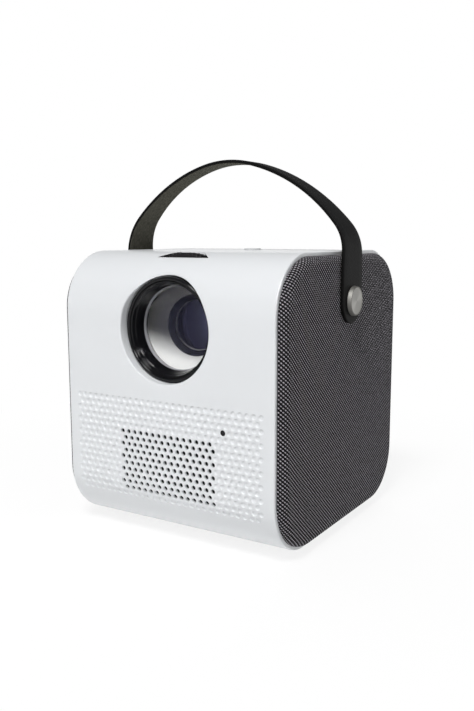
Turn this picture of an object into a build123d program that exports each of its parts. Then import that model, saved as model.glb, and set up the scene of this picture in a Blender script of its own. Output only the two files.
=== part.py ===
from build123d import *
import os
from math import cos, radians, sin, sqrt

os.makedirs("parts", exist_ok=True)

# Frame: millimetres, X across, -Y to the front, Z up, Z = 0 under the feet
FOOT_H = 2.0
SHELL_W = 131.0
SHELL_D = 145.6
SHELL_H = 152.0
CORNER_R = 31.4
WALL = 3.0
BASE_Z = FOOT_H
TOP_Z = BASE_Z + SHELL_H
MID_Z = BASE_Z + SHELL_H / 2
FRONT_Y = -SHELL_D / 2
REAR_Y = SHELL_D / 2
SIDE_X = SHELL_W / 2

# Fabric covered side panels
PANEL_PROUD = 4.7
PANEL_INSET = 1.9
FABRIC_T = 0.8
PANEL_EDGE_R = 4.6
FABRIC_X = SIDE_X + PANEL_PROUD
CORE_X = FABRIC_X - FABRIC_T

# Carrying strap and its studs
STUD_Z = 127.6
STRAP_W = 24.4
STRAP_CROWN_W = 14.2
STRAP_NARROWS = 12.0
STRAP_T = 2.0
STRAP_OUT_X = 72.5
STRAP_SPRING = 26.0
STRAP_RISE = 77.0
CROWN_X = -2.6
CROWN_R = 64.5
CROWN_TURN = 15.0
HAUNCH_TURN = 49.5
STRAP_HOLE_R = 3.56
STUD_SHOULDER_R = 3.5
STUD_CAP_R = 8.1
STUD_CAP_T = 2.3
STUD_CAP_X = 72.7
STUD_SHANK_R = 2.0

# Lens axis, barrel and focus drive
LENS_Z = 114.4
LENS_OPENING_R = 27.9
COLLAR_R = 30.4
COLLAR_REAR_Y = -63.0
BARREL_FRONT_Y = -68.7
BARREL_FLANGE_R = 27.4
BARREL_R = 25.0
BAFFLE_SEAT_Y = -49.5
BAFFLE_WAIST_R = 15.4
BAFFLE_WAIST_Y = -44.0
BAFFLE_STOP_R = 12.0
BAFFLE_REAR_Y = -41.0
HOLDER_IN_R = 25.06
HOLDER_R = 27.6
SLEEVE_IN_R = 27.66
SLEEVE_R = 30.0
WHEEL_R = 39.1
WHEEL_GAP = 0.8
WHEEL_FRONT_Y = -54.0
WHEEL_REAR_Y = -46.0
SLEEVE_REAR_Y = -34.0
RIDGES = 96
PIN_R = 1.5
PIN_Y = -41.0
FOCUS_TURN = 45.0
FOCUS_TRAVEL = 3.0
CAM_LEAD = FOCUS_TRAVEL * 360.0 / FOCUS_TURN
CAM_END = 4.0

# Dimple grid on the front, with the open holes in front of the speaker
PITCH = 4.0
ROW_PITCH = PITCH * sqrt(3) / 2
ROWS = 16
TOP_ROW_Z = 76.0
HOLE_R = 1.25
DIMPLE_BALL_R = 1.5
IR_X = 36.0
IR_Z = TOP_ROW_Z - 3 * ROW_PITCH
IR_R = 1.5

# Power button on the top
BUTTON_Y = 16.7
BUTTON_R = 5.0
BUTTON_PROUD = 0.8
BUTTON_TRAVEL = 0.6

# Light engine, heat sink and fan along the lens axis
ENGINE_X = 44.0
ENGINE_FRONT_Y = -28.0
ENGINE_REAR_Y = 38.0
ENGINE_BASE_Z = 82.8
ENGINE_TOP_Z = 146.0
ENGINE_IN_X = 40.0
LID_T = 3.0
PLATE_X = 41.8
PLATE_BASE_Z = 85.2
PLATE_TOP_Z = ENGINE_TOP_Z - LID_T - 0.2
FAN_Z = 95.0
FAN_SIZE = 50.0
FAN_FRONT_Y = 58.0
FAN_REAR_Y = 68.0
FAN_BORE_R = 24.0
FAN_SCREW = 20.0

# Rear panel, main board and its sockets
PANEL_T = 2.0
REAR_W = 117.6
REAR_H = 87.6
REAR_Z = 78.0
REAR_GAP = 0.2
REAR_LIP = 3.3
REAR_SCREW_X = 54.3
REAR_SCREW_DZ = 39.3
BOARD_Z = 42.0
BOARD_T = 1.6
BOARD_TOP = BOARD_Z + BOARD_T
PORT_FACE_Y = 72.4
DC_X = -34.0
AV_X = -16.0
USB_X = 4.0
HDMI_X = 28.0

# Chassis, feet and speaker
CHASSIS_Z = 10.0
CHASSIS_T = 2.0
UPRIGHT_X = 56.0
FOOT_X = 46.0
FOOT_Y = 34.0
FOOT_R = 6.0
SPEAKER_X = 1.0
SPEAKER_Z = 43.1
SPEAKER_SCREW_X = 36.0
SPEAKER_SCREW_DZ = 11.0
SPEAKER_FACE_Y = -67.5

LENS_AXIS = Axis((0, 0, LENS_Z), (0, 1, 0))
FAN_AXIS = Axis((0, 0, FAN_Z), (0, 1, 0))
SPEAKER_AXIS = Axis((SPEAKER_X, 0, SPEAKER_Z), (0, 1, 0))


def front_plane(y):
    """Plane at depth y that faces the front, drawn in X and Z."""
    return Plane.XZ.offset(-y)


def side_plane(x):
    """Plane at x that faces +X, drawn in Y and Z."""
    return Plane.YZ.offset(x)


def outline(inset, mode=Mode.ADD):
    """Rounded side outline of the body, drawn inward by inset."""
    with Locations((0, MID_Z)):
        RectangleRounded(SHELL_D - 2 * inset, SHELL_H - 2 * inset, CORNER_R - inset, mode=mode)


def box(x0, x1, y0, y1, z0, z1, mode=Mode.ADD):
    """Box between two corners."""
    with Locations(((x0 + x1) / 2, (y0 + y1) / 2, (z0 + z1) / 2)):
        Box(x1 - x0, y1 - y0, z1 - z0, mode=mode)


def rod_x(y, z, radius, x0, x1, mode=Mode.ADD):
    """Cylinder along X."""
    with Locations(Location(((x0 + x1) / 2, y, z), (0, 90, 0))):
        Cylinder(radius, x1 - x0, mode=mode)


def rod_y(x, z, radius, y0, y1, mode=Mode.ADD):
    """Cylinder along Y."""
    with Locations(Location((x, (y0 + y1) / 2, z), (90, 0, 0))):
        Cylinder(radius, y1 - y0, mode=mode)


def rod_z(x, y, radius, z0, z1, mode=Mode.ADD):
    """Cylinder along Z."""
    with Locations((x, y, (z0 + z1) / 2)):
        Cylinder(radius, z1 - z0, mode=mode)


def turned(points, axis, mode=Mode.ADD):
    """Solid turned about an axis along Y from corners given as (radius, y)."""
    with BuildSketch(Plane(origin=axis.position, x_dir=(1, 0, 0), z_dir=(0, 0, 1))) as profile:
        with BuildLine():
            Polyline(*points, close=True)
        make_face()
    revolve(profile.sketch, axis=axis, mode=mode)


def sag(radius, curve):
    """Depth of a sphere of radius curve over a clear radius."""
    return curve - sqrt(curve * curve - radius * radius)


def lens_element(edge_r, clear_r, front, rear, front_curve, rear_curve):
    """Round lens with flat rims; a positive curve bulges out and a negative one is hollow."""
    front_sign = 1 if front_curve > 0 else -1
    rear_sign = 1 if rear_curve > 0 else -1
    front_tip = front - front_sign * sag(clear_r, abs(front_curve))
    rear_tip = rear + rear_sign * sag(clear_r, abs(rear_curve))
    front_mid = front_tip + front_sign * sag(clear_r / 2, abs(front_curve))
    rear_mid = rear_tip - rear_sign * sag(clear_r / 2, abs(rear_curve))
    with BuildSketch(Plane(origin=(0, 0, LENS_Z), x_dir=(1, 0, 0), z_dir=(0, 0, 1))) as profile:
        with BuildLine():
            Line((0, rear_tip), (0, front_tip))
            ThreePointArc((0, front_tip), (clear_r / 2, front_mid), (clear_r, front))
            Polyline((clear_r, front), (edge_r, front), (edge_r, rear), (clear_r, rear))
            ThreePointArc((clear_r, rear), (clear_r / 2, rear_mid), (0, rear_tip))
        make_face()
    revolve(profile.sketch, axis=LENS_AXIS)


def screws(points, out, head_r, head_h, shank_r, shank_l):
    """Group of equal screws seated at points, with their heads towards out."""
    with BuildPart(*[Plane(origin=p, z_dir=out) for p in points]) as group:
        Cylinder(head_r, head_h, align=(Align.CENTER, Align.CENTER, Align.MIN))
        Cylinder(shank_r, shank_l, align=(Align.CENTER, Align.CENTER, Align.MAX))
    return group.part


def save(builder, name):
    """Label a finished piece and write its file."""
    builder.part.label = name
    export_step(builder.part, "parts/" + name + ".step")


def front_surface(z):
    """Depth and normal (y, z) of the front face at height z, below the upper corner."""
    centre_z = BASE_Z + CORNER_R
    if z >= centre_z:
        return FRONT_Y, -1.0, 0.0
    down = (centre_z - z) / CORNER_R
    out = sqrt(1 - down * down)
    return FRONT_Y + CORNER_R * (1 - out), -out, -down


# Places of the dimples and of the open speaker holes
dimple_spots = []
hole_spots = []
for row in range(ROWS):
    row_z = TOP_ROW_Z - row * ROW_PITCH
    row_y, normal_y, normal_z = front_surface(row_z)
    shift = 0.0 if row % 2 else 0.5
    steps = range(-14, 15) if row % 2 else range(-15, 15)
    reach = sqrt(DIMPLE_BALL_R ** 2 - HOLE_R ** 2)
    for step in steps:
        column = step + shift
        if 5 <= row <= 14 and -7.2 < column < 7.7:
            hole_spots.append((column * PITCH, row_z))
        elif not (row == 3 and column == 9):
            dimple_spots.append((column * PITCH, row_y + reach * normal_y, row_z + reach * normal_z))

rear_screw_spots = [(x, z) for x in (-REAR_SCREW_X, REAR_SCREW_X)
                    for z in (REAR_Z - REAR_SCREW_DZ, REAR_Z + REAR_SCREW_DZ)]
foot_spots = [(x, y) for x in (-FOOT_X, FOOT_X) for y in (-FOOT_Y, FOOT_Y)]
fan_spots = [(x, z) for x in (-FAN_SCREW, FAN_SCREW) for z in (FAN_Z - FAN_SCREW, FAN_Z + FAN_SCREW)]
speaker_spots = [(SPEAKER_X + dx, SPEAKER_Z + dz) for dx in (-SPEAKER_SCREW_X, SPEAKER_SCREW_X)
                 for dz in (-SPEAKER_SCREW_DZ, SPEAKER_SCREW_DZ)]
board_spots = [(x, y) for x in (-48.0, 48.0) for y in (10.0, 48.0)]
engine_spots = [(x, y) for x in (-42.0, 42.0) for y in (-20.0, 30.0)]
holder_spots = [(x, LENS_Z + dz) for x in (-34.0, 34.0) for dz in (-24.0, 24.0)]
sink_spots = [(x, LENS_Z + dz) for x in (-26.1, 26.1) for dz in (-24.0, 24.0)]

# Lens collar, trimmed to the rounded front of the body
with BuildPart() as lens_collar:
    with BuildSketch(side_plane(-COLLAR_R)):
        outline(0)
    extrude(amount=2 * COLLAR_R)
    rod_y(0, LENS_Z, COLLAR_R, FRONT_Y - 1, COLLAR_REAR_Y, mode=Mode.INTERSECT)

# White body sleeve
with BuildPart() as main_shell:
    with BuildSketch(side_plane(-SIDE_X)):
        outline(0)
        outline(WALL, mode=Mode.SUBTRACT)
    extrude(amount=SHELL_W)
    add(lens_collar.part)
    rod_y(0, LENS_Z, LENS_OPENING_R, FRONT_Y - 5, -56.0, mode=Mode.SUBTRACT)
    # Slot for the focus wheel and hole for the power button
    rod_y(0, LENS_Z, WHEEL_R + WHEEL_GAP, WHEEL_FRONT_Y - 0.6, WHEEL_REAR_Y + WHEEL_GAP, mode=Mode.SUBTRACT)
    rod_z(0, BUTTON_Y, BUTTON_R + 0.2, TOP_Z - 5, TOP_Z + 5, mode=Mode.SUBTRACT)
    # Opening and rabbet for the rear panel, with screw bosses at its corners
    for boss_x, boss_z in rear_screw_spots:
        rod_y(boss_x, boss_z, 4.0, 62.0, REAR_Y - PANEL_T)
    with BuildSketch(front_plane(REAR_Y + 1)):
        with Locations((0, REAR_Z)):
            RectangleRounded(REAR_W + 2 * REAR_GAP, REAR_H + 2 * REAR_GAP, 6.2)
    extrude(amount=PANEL_T + 1, mode=Mode.SUBTRACT)
    with BuildSketch(front_plane(REAR_Y + 1)):
        with Locations((0, REAR_Z)):
            RectangleRounded(REAR_W - 2 * REAR_LIP, REAR_H - 2 * REAR_LIP, 6.0)
        with Locations(*rear_screw_spots):
            Circle(4.0, mode=Mode.SUBTRACT)
    extrude(amount=WALL + 3, mode=Mode.SUBTRACT)
    for boss_x, boss_z in rear_screw_spots:
        rod_y(boss_x, boss_z, 1.3, 63.0, REAR_Y, mode=Mode.SUBTRACT)
    # Bosses for the speaker and for the tripod insert
    for boss_x, boss_z in speaker_spots:
        rod_y(boss_x, boss_z, 3.2, FRONT_Y + 2, SPEAKER_FACE_Y)
        rod_y(boss_x, boss_z, 1.1, FRONT_Y + 1.8, SPEAKER_FACE_Y, mode=Mode.SUBTRACT)
    rod_z(0, 0, 8.0, BASE_Z + 1, BASE_Z + 8)
    rod_z(0, 0, 5.0, BASE_Z - 1, BASE_Z + 9, mode=Mode.SUBTRACT)
    # Screw seats under the feet
    for foot_x, foot_y in foot_spots:
        rod_z(foot_x, foot_y, 3.1, BASE_Z - 1, BASE_Z + 1.6, mode=Mode.SUBTRACT)
        rod_z(foot_x, foot_y, 1.7, BASE_Z - 1, BASE_Z + 5, mode=Mode.SUBTRACT)
    # Infrared window, open speaker holes and dimples
    rod_y(IR_X, IR_Z, IR_R, FRONT_Y - 1, FRONT_Y + 5, mode=Mode.SUBTRACT)
    with Locations(*[Location((x, FRONT_Y + 1.5, z), (90, 0, 0)) for x, z in hole_spots]):
        Cylinder(HOLE_R, 7.0, mode=Mode.SUBTRACT)
    with Locations(*dimple_spots):
        Sphere(DIMPLE_BALL_R, mode=Mode.SUBTRACT)
save(main_shell, "main_shell")

# Flush rear panel with fan vent, air inlets and socket openings
vent_spots = []
for row in range(-6, 7):
    for step in range(-6, 7):
        vent_x = (step + 0.5 * (row % 2)) * 4.6
        vent_z = row * 4.6 * sqrt(3) / 2
        if vent_x ** 2 + vent_z ** 2 < 22.2 ** 2:
            vent_spots.append((vent_x, FAN_Z + vent_z))
with BuildPart() as rear_panel:
    with BuildSketch(front_plane(REAR_Y)):
        with Locations((0, REAR_Z)):
            RectangleRounded(REAR_W, REAR_H, 6.0)
        with Locations(*vent_spots):
            Circle(1.7, mode=Mode.SUBTRACT)
        with Locations(*[(side * 42.0, FAN_Z - 21 + 6 * n) for side in (-1, 1) for n in range(8)]):
            SlotOverall(16.0, 2.4, mode=Mode.SUBTRACT)
        with Locations(*rear_screw_spots):
            Circle(1.6, mode=Mode.SUBTRACT)
        with Locations((DC_X, BOARD_TOP + 6.0)):
            Circle(4.7, mode=Mode.SUBTRACT)
        with Locations((AV_X, BOARD_TOP + 4.0)):
            Circle(3.5, mode=Mode.SUBTRACT)
        with Locations((USB_X, BOARD_TOP + 3.5)):
            RectangleRounded(14.0, 6.6, 0.8, mode=Mode.SUBTRACT)
        with Locations((HDMI_X, BOARD_TOP + 3.3)):
            RectangleRounded(15.8, 6.2, 0.8, mode=Mode.SUBTRACT)
    extrude(amount=PANEL_T)
    for spot_x, spot_z in rear_screw_spots:
        rod_y(spot_x, spot_z, 2.8, REAR_Y - 1.2, REAR_Y + 1, mode=Mode.SUBTRACT)
    for spot_x, spot_z in fan_spots:
        rod_y(spot_x, spot_z, 2.6, FAN_REAR_Y, REAR_Y - PANEL_T)
        rod_y(spot_x, spot_z, 1.1, FAN_REAR_Y - 1, REAR_Y - 1.2, mode=Mode.SUBTRACT)
save(rear_panel, "rear_panel")

with BuildPart() as rear_panel_screws:
    add(screws([(x, REAR_Y - 1.2, z) for x, z in rear_screw_spots], (0, 1, 0), 2.7, 1.0, 1.25, 8.0))
save(rear_panel_screws, "rear_panel_screws")

# Side panel cores with a spigot into the body and a boss for the strap stud
with BuildPart() as side_core_right:
    with BuildSketch(side_plane(SIDE_X)):
        outline(PANEL_INSET + FABRIC_T)
    extrude(amount=CORE_X - SIDE_X)
    fillet(side_core_right.faces().sort_by(Axis.X)[-1].edges(), PANEL_EDGE_R - FABRIC_T)
    with BuildSketch(side_plane(SIDE_X)):
        outline(WALL + 0.2)
        outline(WALL + 2.2, mode=Mode.SUBTRACT)
    extrude(amount=-5.5)
    rod_x(0, STUD_Z, 7.5, 57.0, SIDE_X + 1)
    rod_x(0, STUD_Z, STUD_SHANK_R + 0.05, 56.0, CORE_X + 1, mode=Mode.SUBTRACT)
    with BuildSketch(side_plane(57.0)):
        with Locations((0, STUD_Z)):
            RegularPolygon(3.55, 6, major_radius=False)
    extrude(amount=3.3, mode=Mode.SUBTRACT)
save(side_core_right, "side_core_right")

with BuildPart() as side_core_left:
    mirror(side_core_right.part, about=Plane.YZ)
save(side_core_left, "side_core_left")

# Fabric covers over the cores
with BuildPart() as side_fabric_right:
    with BuildSketch(side_plane(SIDE_X)):
        outline(PANEL_INSET)
    extrude(amount=PANEL_PROUD)
    fillet(side_fabric_right.faces().sort_by(Axis.X)[-1].edges(), PANEL_EDGE_R)
    add(side_core_right.part, mode=Mode.SUBTRACT)
    rod_x(0, STUD_Z, STUD_SHOULDER_R + 0.1, SIDE_X - 10, FABRIC_X + 1, mode=Mode.SUBTRACT)
save(side_fabric_right, "side_fabric_right")

with BuildPart() as side_fabric_left:
    mirror(side_fabric_right.part, about=Plane.YZ)
save(side_fabric_left, "side_fabric_left")

# Carrying strap: an arch of tangent arcs on upright legs with rounded ends. It narrows from above the
# studs to the crown, which hangs a little to the left.
crown_turn = radians(CROWN_TURN)
haunch_turn = radians(HAUNCH_TURN)
spring_z = STUD_Z + STRAP_SPRING
strap_top_z = STUD_Z + STRAP_RISE
strap_low_z = STUD_Z - STRAP_W / 2
crown_z = strap_top_z - CROWN_R


def arch_radii(span):
    """Radii of the haunch and shoulder arcs between the crown's middle and a leg at this span."""
    width = span - CROWN_R * sin(crown_turn)
    height = STRAP_RISE - STRAP_SPRING - CROWN_R * (1 - cos(crown_turn))
    haunch_dx = sin(haunch_turn) - sin(crown_turn)
    haunch_dz = cos(crown_turn) - cos(haunch_turn)
    shoulder_dx = 1 - sin(haunch_turn)
    shoulder_dz = cos(haunch_turn)
    det = haunch_dx * shoulder_dz - haunch_dz * shoulder_dx
    return (width * shoulder_dz - height * shoulder_dx) / det, (haunch_dx * height - haunch_dz * width) / det


with BuildPart() as handle_strap:
    with BuildSketch(front_plane(STRAP_W / 2)):
        with BuildLine():
            for side in (-1, 1):
                haunch_r, shoulder_r = arch_radii(STRAP_OUT_X - side * CROWN_X)
                shoulder_x = side * (STRAP_OUT_X - shoulder_r)
                haunch_x = CROWN_X + side * (CROWN_R - haunch_r) * sin(crown_turn)
                haunch_z = crown_z + (CROWN_R - haunch_r) * cos(crown_turn)
                for cut in (0, STRAP_T):
                    leg_x = side * (STRAP_OUT_X - cut)
                    Line((leg_x, strap_low_z), (leg_x, spring_z))
                    CenterArc((shoulder_x, spring_z), shoulder_r - cut, 90 - 90 * side, side * (90 - HAUNCH_TURN))
                    CenterArc((haunch_x, haunch_z), haunch_r - cut, 90 - side * HAUNCH_TURN,
                              side * (HAUNCH_TURN - CROWN_TURN))
                Line((side * STRAP_OUT_X, strap_low_z), (side * (STRAP_OUT_X - STRAP_T), strap_low_z))
            for cut in (0, STRAP_T):
                CenterArc((CROWN_X, crown_z), CROWN_R - cut, 90 - CROWN_TURN, 2 * CROWN_TURN)
        make_face()
    extrude(amount=STRAP_W)
    with BuildSketch(side_plane(-90)):
        with Locations((0, STUD_Z)):
            Circle(STRAP_W / 2)
        with BuildLine():
            narrow_z = STUD_Z + STRAP_NARROWS
            third = (strap_top_z - narrow_z) / 3
            for half_w, half_crown_w in ((STRAP_W / 2, STRAP_CROWN_W / 2), (-STRAP_W / 2, -STRAP_CROWN_W / 2)):
                Line((half_w, STUD_Z), (half_w, narrow_z))
                Bezier((half_w, narrow_z), (half_w, narrow_z + third), (half_crown_w, strap_top_z - third),
                       (half_crown_w, strap_top_z))
                Line((half_crown_w, strap_top_z), (half_crown_w, strap_top_z + 1))
            Line((-STRAP_W / 2, STUD_Z), (STRAP_W / 2, STUD_Z))
            Line((-STRAP_CROWN_W / 2, strap_top_z + 1), (STRAP_CROWN_W / 2, strap_top_z + 1))
        make_face()
    extrude(amount=180, mode=Mode.INTERSECT)
    rod_x(0, STUD_Z, STRAP_HOLE_R, -90, 90, mode=Mode.SUBTRACT)
save(handle_strap, "handle_strap")

# Studs that the strap turns on, and their nuts
with BuildPart() as strap_stud_right:
    rod_x(0, STUD_Z, STUD_CAP_R, STUD_CAP_X, STUD_CAP_X + STUD_CAP_T)
    fillet(strap_stud_right.faces().sort_by(Axis.X)[-1].edges(), 0.8)
    rod_x(0, STUD_Z, STUD_SHOULDER_R, CORE_X, STUD_CAP_X)
    rod_x(0, STUD_Z, STUD_SHANK_R, 57.2, CORE_X)
save(strap_stud_right, "strap_stud_right")

with BuildPart() as strap_stud_left:
    mirror(strap_stud_right.part, about=Plane.YZ)
save(strap_stud_left, "strap_stud_left")

with BuildPart() as stud_nuts:
    for side in (-1, 1):
        with BuildSketch(side_plane(side * 60.3)):
            with Locations((0, STUD_Z)):
                RegularPolygon(3.5, 6, major_radius=False)
                Circle(STUD_SHANK_R + 0.02, mode=Mode.SUBTRACT)
        extrude(amount=-side * 3.1)
save(stud_nuts, "stud_nuts")

# Feet, base screws and tripod insert
with BuildPart() as rubber_feet:
    for foot_x, foot_y in foot_spots:
        rod_z(foot_x, foot_y, FOOT_R, 0, FOOT_H)
    chamfer(rubber_feet.faces().filter_by(Axis.Z).group_by(Axis.Z)[0].edges(), 0.4)
save(rubber_feet, "rubber_feet")

with BuildPart() as base_screws:
    add(screws([(x, y, BASE_Z + 1.6) for x, y in foot_spots], (0, 0, -1), 2.9, 1.4, 1.5, 7.0))
save(base_screws, "base_screws")

with BuildPart() as tripod_insert:
    rod_z(0, 0, 5.0, BASE_Z, BASE_Z + 8)
    rod_z(0, 0, 2.55, BASE_Z - 1, BASE_Z + 7, mode=Mode.SUBTRACT)
save(tripod_insert, "tripod_insert")

# Chassis: base plate on four bosses, two uprights and board posts
with BuildPart() as chassis:
    box(-UPRIGHT_X, UPRIGHT_X, -48.0, 54.0, CHASSIS_Z, CHASSIS_Z + CHASSIS_T)
    rod_z(0, 0, 9.0, CHASSIS_Z - 1, CHASSIS_Z + 5, mode=Mode.SUBTRACT)
    for foot_x, foot_y in foot_spots:
        rod_z(foot_x, foot_y, 4.0, BASE_Z + WALL, CHASSIS_Z)
        rod_z(foot_x, foot_y, 1.55, 0, CHASSIS_Z + 1, mode=Mode.SUBTRACT)
    for side in (-1, 1):
        far = side * UPRIGHT_X
        near = side * (UPRIGHT_X - 2.0)
        box(min(near, far), max(near, far), -26.0, 36.0, CHASSIS_Z, ENGINE_BASE_Z)
        ledge = side * 38.0
        box(min(ledge, far), max(ledge, far), -26.0, 36.0, ENGINE_BASE_Z - 2.0, ENGINE_BASE_Z)
    for post_x, post_y in board_spots:
        rod_z(post_x, post_y, 3.0, CHASSIS_Z + CHASSIS_T, BOARD_Z)
        rod_z(post_x, post_y, 1.3, BOARD_Z - 7.0, BOARD_Z, mode=Mode.SUBTRACT)
    for hole_x, hole_y in engine_spots:
        rod_z(hole_x, hole_y, 1.6, ENGINE_BASE_Z - 3.0, ENGINE_BASE_Z, mode=Mode.SUBTRACT)
save(chassis, "chassis")

# Light engine box with grooves for its optical plates
plate_gaps = [(-17.0, -15.0), (-10.0, -7.0), (2.0, 4.0), (9.0, 10.2), (17.0, 19.0)]
with BuildPart() as engine_housing:
    box(-ENGINE_X, ENGINE_X, ENGINE_FRONT_Y, ENGINE_REAR_Y, ENGINE_BASE_Z, ENGINE_TOP_Z - LID_T)
    box(-ENGINE_IN_X, ENGINE_IN_X, ENGINE_FRONT_Y + 3, ENGINE_REAR_Y - 3,
        ENGINE_BASE_Z + 3.2, ENGINE_TOP_Z, mode=Mode.SUBTRACT)
    for plate_front, plate_rear in plate_gaps:
        box(-PLATE_X - 0.2, PLATE_X + 0.2, plate_front - 0.1, plate_rear + 0.1,
            PLATE_BASE_Z, ENGINE_TOP_Z, mode=Mode.SUBTRACT)
    rod_y(0, LENS_Z, 26.0, ENGINE_FRONT_Y - 1, ENGINE_FRONT_Y + 4, mode=Mode.SUBTRACT)
    box(-7.0, 7.0, ENGINE_REAR_Y - 4, ENGINE_REAR_Y + 1, LENS_Z - 7, LENS_Z + 7, mode=Mode.SUBTRACT)
    box(-13.0, 13.0, -9.2, -7.8, ENGINE_BASE_Z - 1, ENGINE_BASE_Z + 4, mode=Mode.SUBTRACT)
    for spot_x, spot_y in engine_spots:
        rod_z(spot_x, spot_y, 1.3, ENGINE_BASE_Z, ENGINE_BASE_Z + 9, mode=Mode.SUBTRACT)
    for spot_x, spot_z in holder_spots:
        rod_y(spot_x, spot_z, 1.3, ENGINE_FRONT_Y, ENGINE_FRONT_Y + 3, mode=Mode.SUBTRACT)
    for spot_x, spot_z in sink_spots:
        rod_y(spot_x, spot_z, 1.3, ENGINE_REAR_Y - 3, ENGINE_REAR_Y, mode=Mode.SUBTRACT)
save(engine_housing, "engine_housing")

with BuildPart() as engine_lid:
    box(-ENGINE_X, ENGINE_X, ENGINE_FRONT_Y, ENGINE_REAR_Y, ENGINE_TOP_Z - LID_T, ENGINE_TOP_Z)
save(engine_lid, "engine_lid")

with BuildPart() as engine_screws:
    add(screws([(x, y, ENGINE_BASE_Z - 2.0) for x, y in engine_spots], (0, 0, -1), 2.7, 1.8, 1.25, 10.0))
save(engine_screws, "engine_screws")

# Optical plates in the engine
with BuildPart() as fresnel_front:
    box(-PLATE_X, PLATE_X, -17.0, -15.0, PLATE_BASE_Z, PLATE_TOP_Z)
save(fresnel_front, "fresnel_front")

with BuildPart() as lcd_panel:
    box(-PLATE_X, PLATE_X, -10.0, -7.0, PLATE_BASE_Z, PLATE_TOP_Z)
save(lcd_panel, "lcd_panel")

with BuildPart() as fresnel_rear:
    box(-PLATE_X, PLATE_X, 2.0, 4.0, PLATE_BASE_Z, PLATE_TOP_Z)
save(fresnel_rear, "fresnel_rear")

with BuildPart() as heat_glass:
    box(-PLATE_X, PLATE_X, 9.0, 10.2, PLATE_BASE_Z, PLATE_TOP_Z)
save(heat_glass, "heat_glass")

with BuildPart() as condenser_lens:
    box(-PLATE_X, PLATE_X, 17.0, 19.0, PLATE_BASE_Z, PLATE_TOP_Z)
    lens_element(25.0, 24.0, 18.0, 19.0, 400.0, 36.0)
save(condenser_lens, "condenser_lens")

# Lamp module, heat sink and its screws
with BuildPart() as led_module:
    box(-15.0, 15.0, ENGINE_REAR_Y, ENGINE_REAR_Y + 1.6, LENS_Z - 15, LENS_Z + 15)
    box(-5.0, 5.0, ENGINE_REAR_Y - 2.0, ENGINE_REAR_Y, LENS_Z - 5, LENS_Z + 5)
save(led_module, "led_module")

with BuildPart() as heatsink:
    box(-30.0, 30.0, ENGINE_REAR_Y, 43.6, LENS_Z - 28, LENS_Z + 28)
    box(-15.1, 15.1, ENGINE_REAR_Y - 1, ENGINE_REAR_Y + 1.6, LENS_Z - 15.1, LENS_Z + 15.1, mode=Mode.SUBTRACT)
    for fin in range(11):
        fin_x = -29.0 + 5.8 * fin
        box(fin_x - 0.7, fin_x + 0.7, 43.6, 55.0, LENS_Z - 28, LENS_Z + 28)
    for spot_x, spot_z in sink_spots:
        rod_y(spot_x, spot_z, 1.6, ENGINE_REAR_Y - 1, 44.0, mode=Mode.SUBTRACT)
save(heatsink, "heatsink")

with BuildPart() as heatsink_screws:
    add(screws([(x, 43.6, z) for x, z in sink_spots], (0, 1, 0), 2.1, 1.6, 1.25, 8.4))
save(heatsink_screws, "heatsink_screws")

# Lens holder: fixed tube with three straight guide slots and a square flange
with BuildPart() as lens_holder:
    turned([(HOLDER_IN_R, -57.0), (HOLDER_R, -57.0), (HOLDER_R, SLEEVE_REAR_Y + 0.1),
            (29.6, SLEEVE_REAR_Y + 0.1), (29.6, -29.0), (HOLDER_IN_R, -29.0)], LENS_AXIS)
    with BuildSketch(front_plane(ENGINE_FRONT_Y)):
        with Locations((0, LENS_Z)):
            RectangleRounded(76.0, 56.0, 5.0)
            Circle(HOLDER_IN_R, mode=Mode.SUBTRACT)
        with Locations(*holder_spots):
            Circle(1.6, mode=Mode.SUBTRACT)
    extrude(amount=3.0)
    turned([(27.0, -55.7), (30.0, -55.7), (30.0, -54.1), (27.0, -54.1)], LENS_AXIS, mode=Mode.SUBTRACT)
    for turn in (90, 210, 330):
        with BuildSketch(Plane(origin=(0, PIN_Y, LENS_Z), x_dir=(0, 1, 0),
                               z_dir=(cos(radians(turn)), 0, sin(radians(turn))))) as guide:
            SlotCenterToCenter(2 * FOCUS_TRAVEL + 0.3, 2 * PIN_R + 0.1)
        extrude(guide.sketch, amount=32.0, mode=Mode.SUBTRACT)
save(lens_holder, "lens_holder")

with BuildPart() as lens_holder_screws:
    add(screws([(x, ENGINE_FRONT_Y - 3.0, z) for x, z in holder_spots], (0, -1, 0), 2.7, 1.8, 1.25, 5.5))
save(lens_holder_screws, "lens_holder_screws")

with BuildPart() as focus_clip:
    turned([(27.05, -55.65), (29.5, -55.65), (29.5, -54.15), (27.05, -54.15)], LENS_AXIS)
    box(-4.0, 4.0, -57.0, -53.0, LENS_Z - 31, LENS_Z - 20, mode=Mode.SUBTRACT)
save(focus_clip, "focus_clip")

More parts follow.
